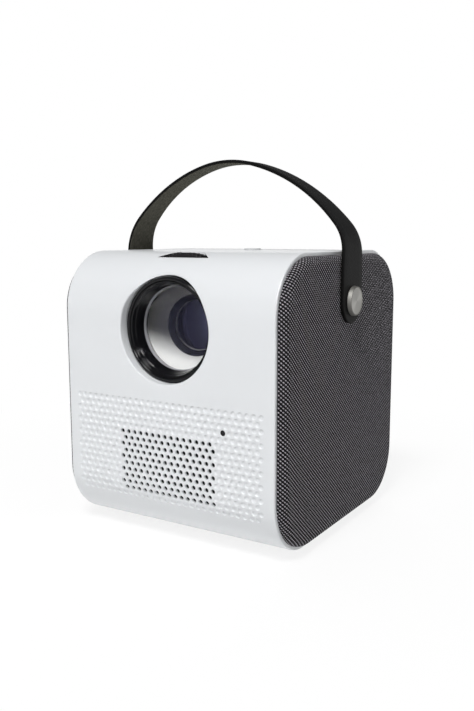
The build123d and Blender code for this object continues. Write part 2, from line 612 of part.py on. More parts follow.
# Focus ring: ridged wheel on a sleeve with three helical cam slots
wheel_plane = Plane(origin=(0, 0, LENS_Z), x_dir=(1, 0, 0), z_dir=(0, 1, 0))
with BuildPart() as focus_ring:
    turned([(SLEEVE_IN_R, WHEEL_FRONT_Y), (SLEEVE_R, WHEEL_FRONT_Y), (SLEEVE_R, SLEEVE_REAR_Y),
            (SLEEVE_IN_R, SLEEVE_REAR_Y)], LENS_AXIS)
    turned([(29.0, -52.0), (36.5, -52.0), (36.5, -48.0), (29.0, -48.0)], LENS_AXIS)
    with BuildSketch(wheel_plane.offset(WHEEL_FRONT_Y)):
        Circle(WHEEL_R - 0.7)
        with PolarLocations(WHEEL_R - 0.7, RIDGES):
            Circle(0.7)
        Circle(35.5, mode=Mode.SUBTRACT)
    extrude(amount=WHEEL_REAR_Y - WHEEL_FRONT_Y)
    cam_half = FOCUS_TRAVEL * (FOCUS_TURN + CAM_END) / FOCUS_TURN
    for turn in (90, 210, 330):
        start = radians(turn + FOCUS_TURN + CAM_END)
        with BuildLine() as cam_path:
            Helix(CAM_LEAD, 2 * cam_half, 28.8)
        with BuildSketch(Plane(origin=cam_path.line @ 0, x_dir=(1, 0, 0), z_dir=cam_path.line % 0)) as cam_face:
            Rectangle(6.0, 2 * PIN_R + 0.2)
        cam_cut = sweep(cam_face.sketch, path=cam_path.line, is_frenet=True, mode=Mode.PRIVATE)
        cam_place = Plane(origin=(0, PIN_Y - cam_half, LENS_Z), x_dir=(cos(start), 0, sin(start)), z_dir=(0, 1, 0))
        add(cam_place.location * cam_cut, mode=Mode.SUBTRACT)
save(focus_ring, "focus_ring")

# Lens barrel that slides in the holder
with BuildPart() as lens_barrel:
    turned([(25.3, BARREL_FRONT_Y), (BARREL_FLANGE_R, BARREL_FRONT_Y), (BARREL_FLANGE_R, -62.0),
            (BARREL_R, -62.0), (BARREL_R, -24.0), (21.0, -24.0), (21.0, BAFFLE_SEAT_Y), (23.05, BAFFLE_SEAT_Y),
            (23.05, -57.5), (24.0, -57.5), (24.0, -64.0), (25.3, -64.0)], LENS_AXIS)
    rim = lens_barrel.edges().filter_by(GeomType.CIRCLE).group_by(Axis.Y)[0]
    fillet(rim, 0.7)
    for turn in (90, 210, 330):
        with BuildSketch(Plane(origin=(0, PIN_Y, LENS_Z),
                               z_dir=(cos(radians(turn)), 0, sin(radians(turn)))).offset(21.5)) as pin_hole:
            Circle(PIN_R + 0.02)
        extrude(pin_hole.sketch, amount=5.0, mode=Mode.SUBTRACT)
save(lens_barrel, "lens_barrel")

with BuildPart() as cam_pins:
    for turn in (90, 210, 330):
        with BuildSketch(Plane(origin=(0, PIN_Y, LENS_Z),
                               z_dir=(cos(radians(turn)), 0, sin(radians(turn)))).offset(21.5)) as pin_face:
            Circle(PIN_R)
        extrude(pin_face.sketch, amount=8.1)
save(cam_pins, "cam_pins")

# Front retainer with its flared inner face, then the lenses with their rings
with BuildPart() as lens_retainer:
    turned([(24.9, -67.9), (25.2, -67.9), (25.2, -64.1), (23.9, -64.1), (23.9, -57.95),
            (22.0, -57.95), (22.0, -60.3), (22.5, -60.3)], LENS_AXIS)
save(lens_retainer, "lens_retainer")

with BuildPart() as front_lens:
    lens_element(23.0, 22.9, -57.5, -53.0, 65.0, 400.0)
    rod_y(0, LENS_Z, 30.0, -53.0, -40.0, mode=Mode.SUBTRACT)
save(front_lens, "front_lens")

# Bright cone that sets the two front lenses apart, with its flange under the front lens
with BuildPart() as lens_baffle:
    turned([(23.0, -53.0), (23.0, BAFFLE_SEAT_Y), (20.95, BAFFLE_SEAT_Y), (20.95, BAFFLE_REAR_Y),
            (BAFFLE_STOP_R, BAFFLE_REAR_Y), (BAFFLE_STOP_R, BAFFLE_REAR_Y - 0.6),
            (BAFFLE_WAIST_R, BAFFLE_WAIST_Y), (22.6, -53.0)], LENS_AXIS)
save(lens_baffle, "lens_baffle")

with BuildPart() as middle_lens:
    lens_element(20.9, 19.0, BAFFLE_REAR_Y, -35.0, -75.0, -85.0)
save(middle_lens, "middle_lens")

with BuildPart() as lens_spacer:
    turned([(19.3, -35.0), (20.95, -35.0), (20.95, -31.0), (19.3, -31.0)], LENS_AXIS)
save(lens_spacer, "lens_spacer")

with BuildPart() as rear_lens:
    lens_element(20.9, 19.0, -31.0, -27.5, 60.0, 62.0)
save(rear_lens, "rear_lens")

with BuildPart() as rear_lens_retainer:
    turned([(19.3, -27.5), (20.95, -27.5), (20.95, -24.0), (19.3, -24.0)], LENS_AXIS)
save(rear_lens_retainer, "rear_lens_retainer")

# Axial fan: frame with hub plate and three struts, and the turning rotor
with BuildPart() as fan_frame:
    with BuildSketch(front_plane(FAN_REAR_Y)):
        with Locations((0, FAN_Z)):
            RectangleRounded(FAN_SIZE, FAN_SIZE, 4.0)
            Circle(FAN_BORE_R, mode=Mode.SUBTRACT)
        with Locations(*fan_spots):
            Circle(2.1, mode=Mode.SUBTRACT)
    extrude(amount=FAN_REAR_Y - FAN_FRONT_Y)
    rod_y(0, FAN_Z, 12.0, FAN_REAR_Y - 1.6, FAN_REAR_Y)
    for turn in (30, 150, 270):
        with BuildSketch(front_plane(FAN_REAR_Y)) as strut:
            with Locations(Location((17.5 * cos(radians(turn)), FAN_Z + 17.5 * sin(radians(turn)), 0), turn)):
                Rectangle(14.0, 2.4)
        extrude(strut.sketch, amount=1.6)
    rod_y(0, FAN_Z, 3.2, FAN_REAR_Y - 6.0, FAN_REAR_Y - 1.6)
    rod_y(0, FAN_Z, 1.05, FAN_FRONT_Y, FAN_REAR_Y - 0.6, mode=Mode.SUBTRACT)
save(fan_frame, "fan_frame")

with BuildPart() as fan_rotor:
    turned([(0, FAN_FRONT_Y + 0.6), (11.5, FAN_FRONT_Y + 0.6), (11.5, FAN_REAR_Y - 2.2),
            (10.4, FAN_REAR_Y - 2.2), (10.4, FAN_FRONT_Y + 1.8), (1.0, FAN_FRONT_Y + 1.8),
            (1.0, FAN_REAR_Y - 1.0), (0, FAN_REAR_Y - 1.0)], FAN_AXIS)
    for blade in range(7):
        turn = radians(blade * 360 / 7)
        blade_plane = Plane(origin=(0, FAN_FRONT_Y + 4.2, FAN_Z), x_dir=(-0.62 * sin(turn), 0.78, 0.62 * cos(turn)),
                            z_dir=(cos(turn), 0, sin(turn))).offset(11.0)
        with BuildSketch(blade_plane) as blade_face:
            Rectangle(7.6, 1.1)
        extrude(blade_face.sketch, amount=12.0)
save(fan_rotor, "fan_rotor")

with BuildPart() as fan_screws:
    add(screws([(x, FAN_FRONT_Y, z) for x, z in fan_spots], (0, -1, 0), 3.0, 1.8, 1.05, 13.0))
save(fan_screws, "fan_screws")

# Main board with its parts, screws and sockets
with BuildPart() as mainboard:
    box(-52.0, 52.0, 4.0, 66.0, BOARD_Z, BOARD_TOP)
    for spot_x, spot_y in board_spots:
        rod_z(spot_x, spot_y, 1.6, BOARD_Z - 1, BOARD_TOP + 1, mode=Mode.SUBTRACT)
save(mainboard, "mainboard")

with BuildPart() as mainboard_chips:
    box(-12.0, 12.0, 24.0, 46.0, BOARD_TOP, BOARD_TOP + 1.6)
    for fin in range(6):
        box(-12.0, 12.0, 24.0 + 4.1 * fin, 25.5 + 4.1 * fin, BOARD_TOP + 1.6, BOARD_TOP + 8.0)
    box(18.0, 30.0, 28.0, 37.0, BOARD_TOP, BOARD_TOP + 1.0)
    box(-32.0, -20.0, 26.0, 38.0, BOARD_TOP, BOARD_TOP + 7.0)
    rod_z(-40.0, 28.0, 4.0, BOARD_TOP, BOARD_TOP + 12.0)
    rod_z(-40.0, 40.0, 4.0, BOARD_TOP, BOARD_TOP + 12.0)
    box(-13.0, 13.0, 5.0, 10.0, BOARD_TOP, BOARD_TOP + 2.4)
    box(34.0, 42.0, 20.0, 26.0, BOARD_TOP, BOARD_TOP + 5.0)
save(mainboard_chips, "mainboard_chips")

with BuildPart() as mainboard_screws:
    add(screws([(x, y, BOARD_TOP) for x, y in board_spots], (0, 0, 1), 2.7, 1.8, 1.25, 8.0))
save(mainboard_screws, "mainboard_screws")

with BuildPart() as dc_jack:
    box(DC_X - 4.5, DC_X + 4.5, 56.0, 69.4, BOARD_TOP, BOARD_TOP + 11.0)
    rod_y(DC_X, BOARD_TOP + 6.0, 4.4, 69.0, PORT_FACE_Y)
    rod_y(DC_X, BOARD_TOP + 6.0, 3.0, 61.0, PORT_FACE_Y + 1, mode=Mode.SUBTRACT)
    rod_y(DC_X, BOARD_TOP + 6.0, 1.0, 60.0, PORT_FACE_Y - 1.5)
save(dc_jack, "dc_jack")

with BuildPart() as av_jack:
    box(AV_X - 4.0, AV_X + 4.0, 56.0, 69.4, BOARD_TOP, BOARD_TOP + 8.0)
    rod_y(AV_X, BOARD_TOP + 4.0, 3.2, 69.0, PORT_FACE_Y)
    rod_y(AV_X, BOARD_TOP + 4.0, 1.8, 57.4, PORT_FACE_Y + 1, mode=Mode.SUBTRACT)
save(av_jack, "av_jack")

with BuildPart() as usb_port:
    box(USB_X - 6.6, USB_X + 6.6, 58.0, PORT_FACE_Y, BOARD_TOP + 0.6, BOARD_TOP + 6.4)
    box(USB_X - 6.6, USB_X + 6.6, 58.0, 65.0, BOARD_TOP, BOARD_TOP + 0.6)
    box(USB_X - 6.1, USB_X + 6.1, 60.0, PORT_FACE_Y + 1, BOARD_TOP + 1.1, BOARD_TOP + 5.9, mode=Mode.SUBTRACT)
    box(USB_X - 5.6, USB_X + 5.6, 59.0, PORT_FACE_Y - 0.8, BOARD_TOP + 3.6, BOARD_TOP + 5.4)
save(usb_port, "usb_port")

with BuildPart() as hdmi_port:
    box(HDMI_X - 7.5, HDMI_X + 7.5, 60.0, PORT_FACE_Y, BOARD_TOP + 0.5, BOARD_TOP + 6.1)
    box(HDMI_X - 7.5, HDMI_X + 7.5, 60.0, 65.0, BOARD_TOP, BOARD_TOP + 0.5)
    with BuildSketch(front_plane(PORT_FACE_Y + 1)):
        with BuildLine():
            Polyline((HDMI_X - 7.0, BOARD_TOP + 5.6), (HDMI_X + 7.0, BOARD_TOP + 5.6),
                     (HDMI_X + 7.0, BOARD_TOP + 2.6), (HDMI_X + 5.4, BOARD_TOP + 1.0),
                     (HDMI_X - 5.4, BOARD_TOP + 1.0), (HDMI_X - 7.0, BOARD_TOP + 2.6), close=True)
        make_face()
    extrude(amount=11.0, mode=Mode.SUBTRACT)
    box(HDMI_X - 5.5, HDMI_X + 5.5, 61.0, PORT_FACE_Y - 1.0, BOARD_TOP + 3.2, BOARD_TOP + 4.4)
save(hdmi_port, "hdmi_port")

# Ribbon from the panel down to the main board
with BuildPart() as lcd_flex:
    with BuildSketch(side_plane(-12.0)):
        with BuildLine():
            FilletPolyline((-8.5, PLATE_BASE_Z), (-8.5, 60.0), (7.5, 60.0), (7.5, BOARD_TOP + 2.4), radius=4.0)
        trace(line_width=0.3)
    extrude(amount=24.0)
save(lcd_flex, "lcd_flex")

# Speaker behind the open holes, with its dust cloth
with BuildPart() as grille_cloth:
    with BuildSketch(front_plane(SPEAKER_FACE_Y)):
        with Locations((SPEAKER_X, SPEAKER_Z)):
            RectangleRounded(64.0, 35.0, 4.0)
    extrude(amount=0.4)
save(grille_cloth, "grille_cloth")

with BuildPart() as speaker_frame:
    with BuildSketch(front_plane(SPEAKER_FACE_Y + 2.0)):
        with Locations((SPEAKER_X, SPEAKER_Z)):
            RectangleRounded(82.0, 35.0, 6.0)
            Circle(16.2, mode=Mode.SUBTRACT)
        with Locations(*speaker_spots):
            Circle(1.6, mode=Mode.SUBTRACT)
    extrude(amount=2.0)
    turned([(16.2, -65.5), (17.4, -65.5), (13.4, -55.0), (8.0, -55.0), (8.0, -56.0), (12.2, -56.0)], SPEAKER_AXIS)
save(speaker_frame, "speaker_frame")

with BuildPart() as speaker_cone:
    turned([(16.2, -66.6), (16.2, -66.0), (13.6, -66.0), (5.0, -60.4), (5.0, -56.4), (4.4, -56.4),
            (4.4, -60.0), (0, -62.4), (0, -63.0), (5.0, -61.2), (13.4, -66.6)], SPEAKER_AXIS)
save(speaker_cone, "speaker_cone")

with BuildPart() as speaker_magnet:
    rod_y(SPEAKER_X, SPEAKER_Z, 13.0, -55.0, -46.0)
save(speaker_magnet, "speaker_magnet")

with BuildPart() as speaker_screws:
    add(screws([(x, SPEAKER_FACE_Y + 2.0, z) for x, z in speaker_spots], (0, 1, 0), 2.5, 1.6, 1.05, 5.0))
save(speaker_screws, "speaker_screws")

# Infrared window and receiver
with BuildPart() as ir_window:
    rod_y(IR_X, IR_Z, IR_R - 0.03, FRONT_Y + 0.4, FRONT_Y + WALL)
    rod_y(IR_X, IR_Z, 3.2, FRONT_Y + WALL, FRONT_Y + WALL + 1.0)
save(ir_window, "ir_window")

with BuildPart() as ir_receiver:
    box(IR_X - 3.0, IR_X + 3.0, FRONT_Y + WALL + 1.0, FRONT_Y + WALL + 6.0, IR_Z - 3.5, IR_Z + 3.5)
    box(IR_X - 6.0, IR_X + 6.0, FRONT_Y + WALL + 6.0, FRONT_Y + WALL + 7.2, IR_Z - 5.0, IR_Z + 5.0)
save(ir_receiver, "ir_receiver")

# Power button with its switch and small board on the engine lid
with BuildPart() as power_button:
    rod_z(0, BUTTON_Y, BUTTON_R, TOP_Z - WALL - 1.1, TOP_Z + BUTTON_PROUD)
    fillet(power_button.faces().sort_by(Axis.Z)[-1].edges(), 0.5)
    rod_z(0, BUTTON_Y, BUTTON_R + 1.4, TOP_Z - WALL - 1.1, TOP_Z - WALL - 0.1)
    rod_z(0, BUTTON_Y, 1.6, TOP_Z - WALL - 1.3, TOP_Z - WALL - 1.0)
save(power_button, "power_button")

with BuildPart() as key_board:
    box(-14.0, 14.0, BUTTON_Y - 6.0, BUTTON_Y + 6.0, ENGINE_TOP_Z, ENGINE_TOP_Z + 1.2)
save(key_board, "key_board")

with BuildPart() as key_switch:
    box(-3.0, 3.0, BUTTON_Y - 3.0, BUTTON_Y + 3.0, ENGINE_TOP_Z + 1.2, ENGINE_TOP_Z + 2.4)
    rod_z(0, BUTTON_Y, 1.5, ENGINE_TOP_Z + 2.4, TOP_Z - WALL - 1.3 - BUTTON_TRAVEL)
save(key_switch, "key_switch")
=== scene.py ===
import math

import bmesh
import bpy
import numpy as np
from bpy.props import FloatProperty, FloatVectorProperty, IntProperty, PointerProperty
from mathutils import Matrix, Vector
from mathutils.geometry import delaunay_2d_cdt


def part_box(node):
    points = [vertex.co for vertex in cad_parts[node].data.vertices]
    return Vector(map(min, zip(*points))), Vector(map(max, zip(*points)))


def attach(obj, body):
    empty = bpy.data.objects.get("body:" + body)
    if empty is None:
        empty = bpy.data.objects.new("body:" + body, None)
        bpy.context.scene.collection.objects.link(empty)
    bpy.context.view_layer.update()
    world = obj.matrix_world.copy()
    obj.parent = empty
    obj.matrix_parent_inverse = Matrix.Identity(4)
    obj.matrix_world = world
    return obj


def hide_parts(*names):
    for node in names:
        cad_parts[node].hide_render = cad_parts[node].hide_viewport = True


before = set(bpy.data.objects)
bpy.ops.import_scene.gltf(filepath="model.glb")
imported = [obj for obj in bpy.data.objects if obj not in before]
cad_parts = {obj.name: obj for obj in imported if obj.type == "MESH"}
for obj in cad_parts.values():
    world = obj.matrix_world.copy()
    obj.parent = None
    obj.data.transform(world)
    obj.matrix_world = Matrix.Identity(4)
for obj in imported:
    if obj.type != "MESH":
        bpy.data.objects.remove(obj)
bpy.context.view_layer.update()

bl_info = {
    "name": "Home projector",
    "version": (1, 0, 0),
    "blender": (4, 5, 0),
    "location": "3D View > Sidebar > Projector",
    "description": "Makes the pieces and finishes of a home projector with a carrying strap",
    "category": "Object",
}

NODE_SLOT = {name: node.data.materials[0].name.split(".")[0]
             for name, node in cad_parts.items()}
FINISH = {}
LAY = "lay"
DEPTH = "depth"
SIDES = ((-1, "left"), (1, "right"))
WHITE, SOOT = (1.0, 1.0, 1.0, 1.0), (0.0, 0.0, 0.0, 1.0)

# Places that several pieces share, in millimetres
KEY_Y = 16.7
PANEL_THICK, PANEL_CORNER = 2.0, 6.0
SCREW_X, SCREW_Z = (-54.3, 54.3), (38.7, 117.3)
FOOT_X, FOOT_Y = (-46.0, 46.0), (-34.0, 34.0)
FABRIC_HOLE, STRAP_HOLE = 3.6, 3.56

# Cuts in the sleeve, in millimetres
SLOT_FRONT, SLOT_REAR = -54.6, -45.2
KEY_HOLE, TRIPOD_HOLE, EYE_HOLE = 5.2, 5.0, 1.5
PANEL_GAP, PANEL_LEDGE = 0.2, 3.5
COLLAR_WIDTH, COLLAR_BACK = 2.5, -63.0
END_ROUND = 0.6

# Dimple grid: columns to each side, the infra-red eye's place and the range of the open holes
HALF_COLUMNS = 15
EYE_ROW, EYE_COLUMN = 3, 9
OPEN_ROWS, OPEN_COLUMNS = (5, 14), (-7.2, 7.7)

# Field of the speaker holes and the eye with painted shade deep inside: half width, foot and head,
# in metres
HOLE_SHADE_HALF, HOLE_SHADE_FOOT, HOLE_SHADE_HEAD = 0.0385, 0.020, 0.069

# Where painted shade or painted light starts: depth in a speaker hole and radii about the lens
# axis, in metres
HOLE_SHADE = (0.0010, 0.0017)
LENS_PAINTED_LIP, BAFFLE_SHADE_EDGE, BAFFLE_PAINTED_LIP = (0.02225, 0.0224), (0.0150, 0.0154), 0.01235

# Where the strap's finish changes: depth of its painted edge and of its flesh side, in millimetres
STRAP_EDGE, STRAP_FLESH = (0.05, 0.3), (1.55, 1.95)

# Lenses: piece, node, finish, front and back edge planes and both face radii, in millimetres
LENSES = [("front_glass", "front_lens", "front_glass", -57.5, -53.0, 65.0, None),
          ("middle_glass", "middle_lens", "optical_glass", -41.0, -35.0, -75.0, -85.0),
          ("rear_glass", "rear_lens", "optical_glass", -31.0, -27.5, 60.0, 62.0)]

# Lamps: name, place and size in metres, power setting, whether it lights and whether gloss shows it
LAMPS = [("key_lamp", (0.17, -0.81, 1.29), (0.45, 0.36), "key_power", True, True),
         ("gloss_card", (0.69, -0.93, 0.95), (0.50, 0.14), "card_power", False, True),
         ("fill_lamp", (-0.45, 1.10, 0.80), (0.90, 0.60), "fill_power", True, False)]
LAMP_AIM = Vector((0.0, 0.0, 0.1))

# Stage: width of the sensor in millimetres, half width of the floor and the radii where it fades,
# in metres, and the heights of a look between which the surroundings turn white
SENSOR = 36.0
FLOOR_HALF, FLOOR_FADE = 8.0, (0.14, 0.34)
HORIZON = (0.30, 0.16)

# Meshing: points that merge, in metres, and room round the loops of a flat net, in millimetres
MERGE, CLEAR = 1.5e-6, 0.6


def length(name, millimetres, description):
    """A length property, given in millimetres and kept in metres."""
    return FloatProperty(name=name, description=description, default=millimetres * 0.001,
                         unit="LENGTH", subtype="DISTANCE", precision=5)


def angle(name, degrees, description):
    """An angle property, given in degrees and kept in radians."""
    return FloatProperty(name=name, description=description, default=math.radians(degrees),
                         subtype="ANGLE")


def power(name, watts, description):
    """A lamp's power in watts."""
    return FloatProperty(name=name, description=description, default=watts, unit="POWER")


def colour(name, value, description):
    """A colour property in linear red, green and blue."""
    return FloatVectorProperty(name=name, description=description, default=value, size=3,
                               min=0.0, max=1.0, subtype="COLOR")


def number(name, value, least, description):
    """A whole number with a least value."""
    return IntProperty(name=name, description=description, default=value, min=least)


class ProjectorSizes(bpy.types.PropertyGroup):
    """Sizes of the projector's visible pieces."""

    shell_width: length("Shell width", 131.0, "Width of the white sleeve between its side panels")
    shell_depth: length("Shell depth", 145.6, "Depth of the white sleeve from front to back")
    shell_height: length("Shell height", 152.0, "Height of the white sleeve above the feet")
    foot_height: length("Foot height", 2.0, "Height of the rubber feet")
    corner_radius: length("Corner radius", 31.4, "Radius of the sleeve's four long corners")
    wall: length("Wall", 3.0, "Wall thickness of the sleeve")
    panel_proud: length("Panel proud", 4.7, "How far a fabric panel stands out from the sleeve")
    panel_inset: length("Panel inset", 1.9, "Rim of the sleeve that shows around a fabric panel")
    panel_round: length("Panel rounding", 4.6, "Radius of a fabric panel's edge")
    thread_pitch: length("Thread pitch", 1.03, "Spacing of the fabric's threads")
    dimple_pitch: length("Dimple pitch", 4.0, "Spacing of the dimples and speaker holes in a row")
    dimple_rows: number("Dimple rows", 16, 2, "Rows of dimples on the front")
    top_row: length("Top row", 76.0, "Height of the uppermost row of dimples")
    hole_radius: length("Hole radius", 1.25, "Radius of the open speaker holes")
    lens_height: length("Lens height", 114.4, "Height of the lens axis")
    lens_opening: length("Lens opening", 27.9, "Radius of the opening that the lens looks out of")
    wheel_radius: length("Wheel radius", 39.1, "Outer radius of the focus wheel")
    wheel_gap: length("Wheel gap", 0.8, "Gap round the focus wheel in its slot")
    wheel_ridges: number("Wheel ridges", 96, 12, "Ridges round the focus wheel")
    strap_width: length("Strap width", 24.4, "Width of the carrying strap at its studs")
    crown_width: length("Crown width", 14.2, "Width of the carrying strap at its crown")
    strap_narrows: length("Strap narrows", 12.0, "Height above the studs where it narrows")
    strap_thickness: length("Strap thickness", 2.0, "Thickness of the carrying strap")
    strap_reach: length("Strap reach", 72.5, "Distance from the middle to a leg's outer face")
    strap_spring: length("Strap spring", 26.0, "Height above the studs where the arch starts")
    strap_rise: length("Strap rise", 77.0, "Height of the arch above the studs")
    crown_radius: length("Crown radius", 64.5, "Radius of the arch at its crown")
    crown_shift: length("Crown shift", -2.6, "How far the crown hangs to the right of the middle")
    crown_turn: angle("Crown turn", 15.0, "Half angle of the arch's crown arc")
    haunch_turn: angle("Haunch turn", 49.5, "Angle from the crown to the end of a haunch arc")
    stud_height: length("Stud height", 127.6, "Height of the studs that the strap turns on")
    stud_radius: length("Stud radius", 8.1, "Radius of a stud's cap")
    stud_face: length("Stud face", 75.0, "Distance from the middle to a stud's outer face")
    rear_width: length("Rear panel width", 117.6, "Width of the rear panel")
    rear_height: length("Rear panel height", 87.6, "Height of the rear panel")


class ProjectorColours(bpy.types.PropertyGroup):
    """Colours of the projector's finishes."""

    shell: colour("Shell", (0.70, 0.716, 0.733), "Satin white of the sleeve")
    rear: colour("Rear", (0.67, 0.68, 0.69), "Textured white of the rear panel")
    key: colour("Key", (0.56, 0.57, 0.58), "Pale grey of the power key")
    yarn_light: colour("Light yarn", (0.41, 0.39, 0.425), "Pale yarn of the side fabric")
    yarn_dark: colour("Dark yarn", (0.004, 0.0037, 0.0047), "Black yarn of the side fabric")
    strap_face: colour("Strap face", (0.009, 0.009, 0.009), "Grain side of the strap")
    strap_back: colour("Strap back", (0.090, 0.087, 0.070), "Flesh side of the strap")
    stud: colour("Stud", (0.56, 0.55, 0.515), "Spun metal of the studs")
    # Also painted on as shade deep in the speaker holes and inside the baffle's waist
    black: colour("Black", (0.004, 0.004, 0.005), "Black of the lens, wheel and deep holes")
    rubber: colour("Rubber", (0.018, 0.018, 0.018), "Rubber of the feet")
    glass: colour("Glass", (0.98, 0.985, 1.0), "Body colour of the lenses")
    coating: colour("Coating", (0.23, 0.225, 0.46), "Reflection colour of the coated lenses")
    baffle: colour("Baffle", (0.95, 0.95, 0.93), "Pale cone behind the front lens")


class ProjectorStage(bpy.types.PropertyGroup):
    """Camera, lamps and floor."""

    camera_place: FloatVectorProperty(
        name="Camera place", description="Where the camera stands", size=3, unit="LENGTH",
        default=(0.24089, -0.38886, 0.16191), subtype="TRANSLATION")
    azimuth: angle("Azimuth", 31.85, "Turn of the camera round the object")
    elevation: angle("Elevation", 8.66, "Height angle of the camera")
    roll: angle("Roll", -0.10, "Roll of the camera")
    focal: FloatProperty(name="Focal length", default=39.63, subtype="DISTANCE_CAMERA",
                         description="Focal length in millimetres on a 36 mm sensor")
    key_power: power("Key lamp", 18.3, "Power of the soft lamp above the camera")
    card_power: power("Gloss card", 14.0, "Power of the card that only gloss shows")
    fill_power: power("Fill lamp", 5.0, "Power of the weak lamp behind the object")
    ambient: FloatProperty(name="Ambient", description="Brightness of the surrounding studio",
                           default=0.24, min=0.0)


def mm(value):
    """A length in millimetres."""
    return value * 1000.0


def once_round(count):
    """Equal angles once round."""
    return np.linspace(0.0, 2.0 * math.pi, count, endpoint=False)


def quads(rows, columns, wrap=True):
    """Four-sided faces between neighbours of a rows by columns block of points, closed round the
    columns if wrap."""
    across = np.arange(columns if wrap else columns - 1)
    row, column = np.meshgrid(np.arange(rows - 1), across, indexing="ij")
    here = row * columns + column
    beside = row * columns + (column + 1) % columns
    return np.stack([here, beside, beside + columns, here + columns], -1).reshape(-1, 4)


class Skin:
    """Blocks of points and faces in millimetres that become one mesh piece."""

    def __init__(self):
        self.points, self.faces, self.marks, self.total = [], [], [], 0

    def block(self, points, faces, marks=None):
        """Adds points with their faces, and for each point its lay along and across and its
        depth."""
        points = np.asarray(points, float).reshape(-1, 3)
        self.points.append(points)
        marks = np.zeros_like(points) if marks is None else np.asarray(marks, float)
        self.marks.append(marks.reshape(-1, 3))
        self.faces.extend((np.asarray(faces) + self.total).tolist())
        self.total += len(points)
        return self

    def rings(self, rings, marks=None, wrap=True):
        """Adds a stack of like rings of points, joined by four-sided faces."""
        rings = np.asarray(rings, float)
        return self.block(rings, quads(rings.shape[0], rings.shape[1], wrap), marks)

    def piece(self, name, body, node, sharp=32.0, finish=None):
        """Merges the blocks into a piece that rides on a body in place of a CAD node, in the finish
        of the node's slot unless another is named, with smooth faces that are sharp at corners of
        more than sharp degrees."""
        mesh = bpy.data.meshes.new(name)
        mesh.from_pydata((np.concatenate(self.points) * 0.001).tolist(), [], self.faces)
        marks = np.concatenate(self.marks)
        corner = np.empty(len(mesh.loops), np.int32)
        mesh.loops.foreach_get("vertex_index", corner)
        lay = np.ascontiguousarray(marks[corner, :2] * 0.001, np.float32)
        mesh.uv_layers.new(name=LAY).data.foreach_set("uv", lay.ravel())
        depth = mesh.attributes.new(DEPTH, "FLOAT", "POINT")
        depth.data.foreach_set("value", np.ascontiguousarray(marks[:, 2], np.float32))
        work = bmesh.new()
        work.from_mesh(mesh)
        bmesh.ops.remove_doubles(work, verts=work.verts, dist=MERGE)
        bmesh.ops.recalc_face_normals(work, faces=work.faces)
        work.to_mesh(mesh)
        work.free()
        mesh.shade_smooth()
        mesh.set_sharp_from_angle(angle=math.radians(sharp))
        mesh.materials.append(FINISH[finish or NODE_SLOT[node]])
        piece = bpy.data.objects.new(name, mesh)
        bpy.context.scene.collection.objects.link(piece)
        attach(piece, body)
        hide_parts(node)
        return piece


def circle(u, v, radius, count):
    """Loop of points at equal angles round a centre, anticlockwise."""
    turn = once_round(count)
    return np.stack([u + radius * np.cos(turn), v + radius * np.sin(turn)], -1)


def rounded_box(u, v, width, height, radius, steps):
    """Loop round a rectangle whose four corners are quarter circles, anticlockwise."""
    radius = min(max(radius, 0.02), width / 2 - 1e-3, height / 2 - 1e-3)
    turn = np.linspace(0.0, math.pi / 2, steps + 1)
    turn = turn[None, :] + np.arange(4)[:, None] * math.pi / 2
    side_u = np.array([1, -1, -1, 1])[:, None] * (width / 2 - radius)
    side_v = np.array([1, 1, -1, -1])[:, None] * (height / 2 - radius)
    along, up = u + side_u + radius * np.cos(turn), v + side_v + radius * np.sin(turn)
    return np.stack([along, up], -1).reshape(-1, 2)


def grown_box(u, v, width, height, radius, steps, offset):
    """Loop round a rounded rectangle made larger by an offset on every side."""
    return rounded_box(u, v, width + 2 * offset, height + 2 * offset, radius + offset, steps)


def beyond(points, loop):
    """How far each point lies outside a convex anticlockwise loop: its largest distance past any
    side's line."""
    side = np.roll(loop, -1, 0) - loop
    side /= np.linalg.norm(side, axis=1, keepdims=True)
    outward = np.stack([side[:, 1], -side[:, 0]], -1)
    return (points @ outward.T - (loop * outward).sum(1)).max(1)


def fill(edge, holes, infill):
    """Triangles of the flat area inside a convex edge loop and outside convex holes: a Delaunay net
    of all their points and of the infill points that lie clear of them, without the triangles whose
    corners share one hole."""
    infill = infill[beyond(infill, edge) < -CLEAR]
    for hole in holes:
        infill = infill[beyond(infill, hole) > CLEAR]
    loops = [edge, *holes]
    counts = np.array([len(loop) for loop in loops])
    label = np.repeat(np.arange(len(loops)), counts)
    index = np.arange(counts.sum())
    first = np.cumsum(counts) - counts
    following = np.where(index + 1 == (first + counts)[label], first[label], index + 1)
    points = np.concatenate([*loops, infill])
    sides = np.stack([index, following], -1).tolist()
    net = delaunay_2d_cdt(list(map(Vector, points.tolist())), sides, [], 0, 1e-5)
    placed = np.array([tuple(point) for point in net[0]])
    if placed.shape != points.shape or np.abs(placed - points).max() > 1e-2:
        raise RuntimeError("the flat net moved or merged its points")
    triangles = np.array(net[2])
    owner = np.append(label, np.full(len(infill), -1))[triangles]
    inside_hole = (owner[:, 0] == owner[:, 1]) & (owner[:, 1] == owner[:, 2]) & (owner[:, 0] > 0)
    return points, triangles[~inside_hole]


def grid(u_range, v_range, step):
    """Points of a square grid over a range of u and of v."""
    u = np.arange(u_range[0], u_range[1] + 1e-6, step)
    v = np.arange(v_range[0], v_range[1] + 1e-6, step)
    return np.stack(np.meshgrid(u, v, indexing="ij"), -1).reshape(-1, 2)


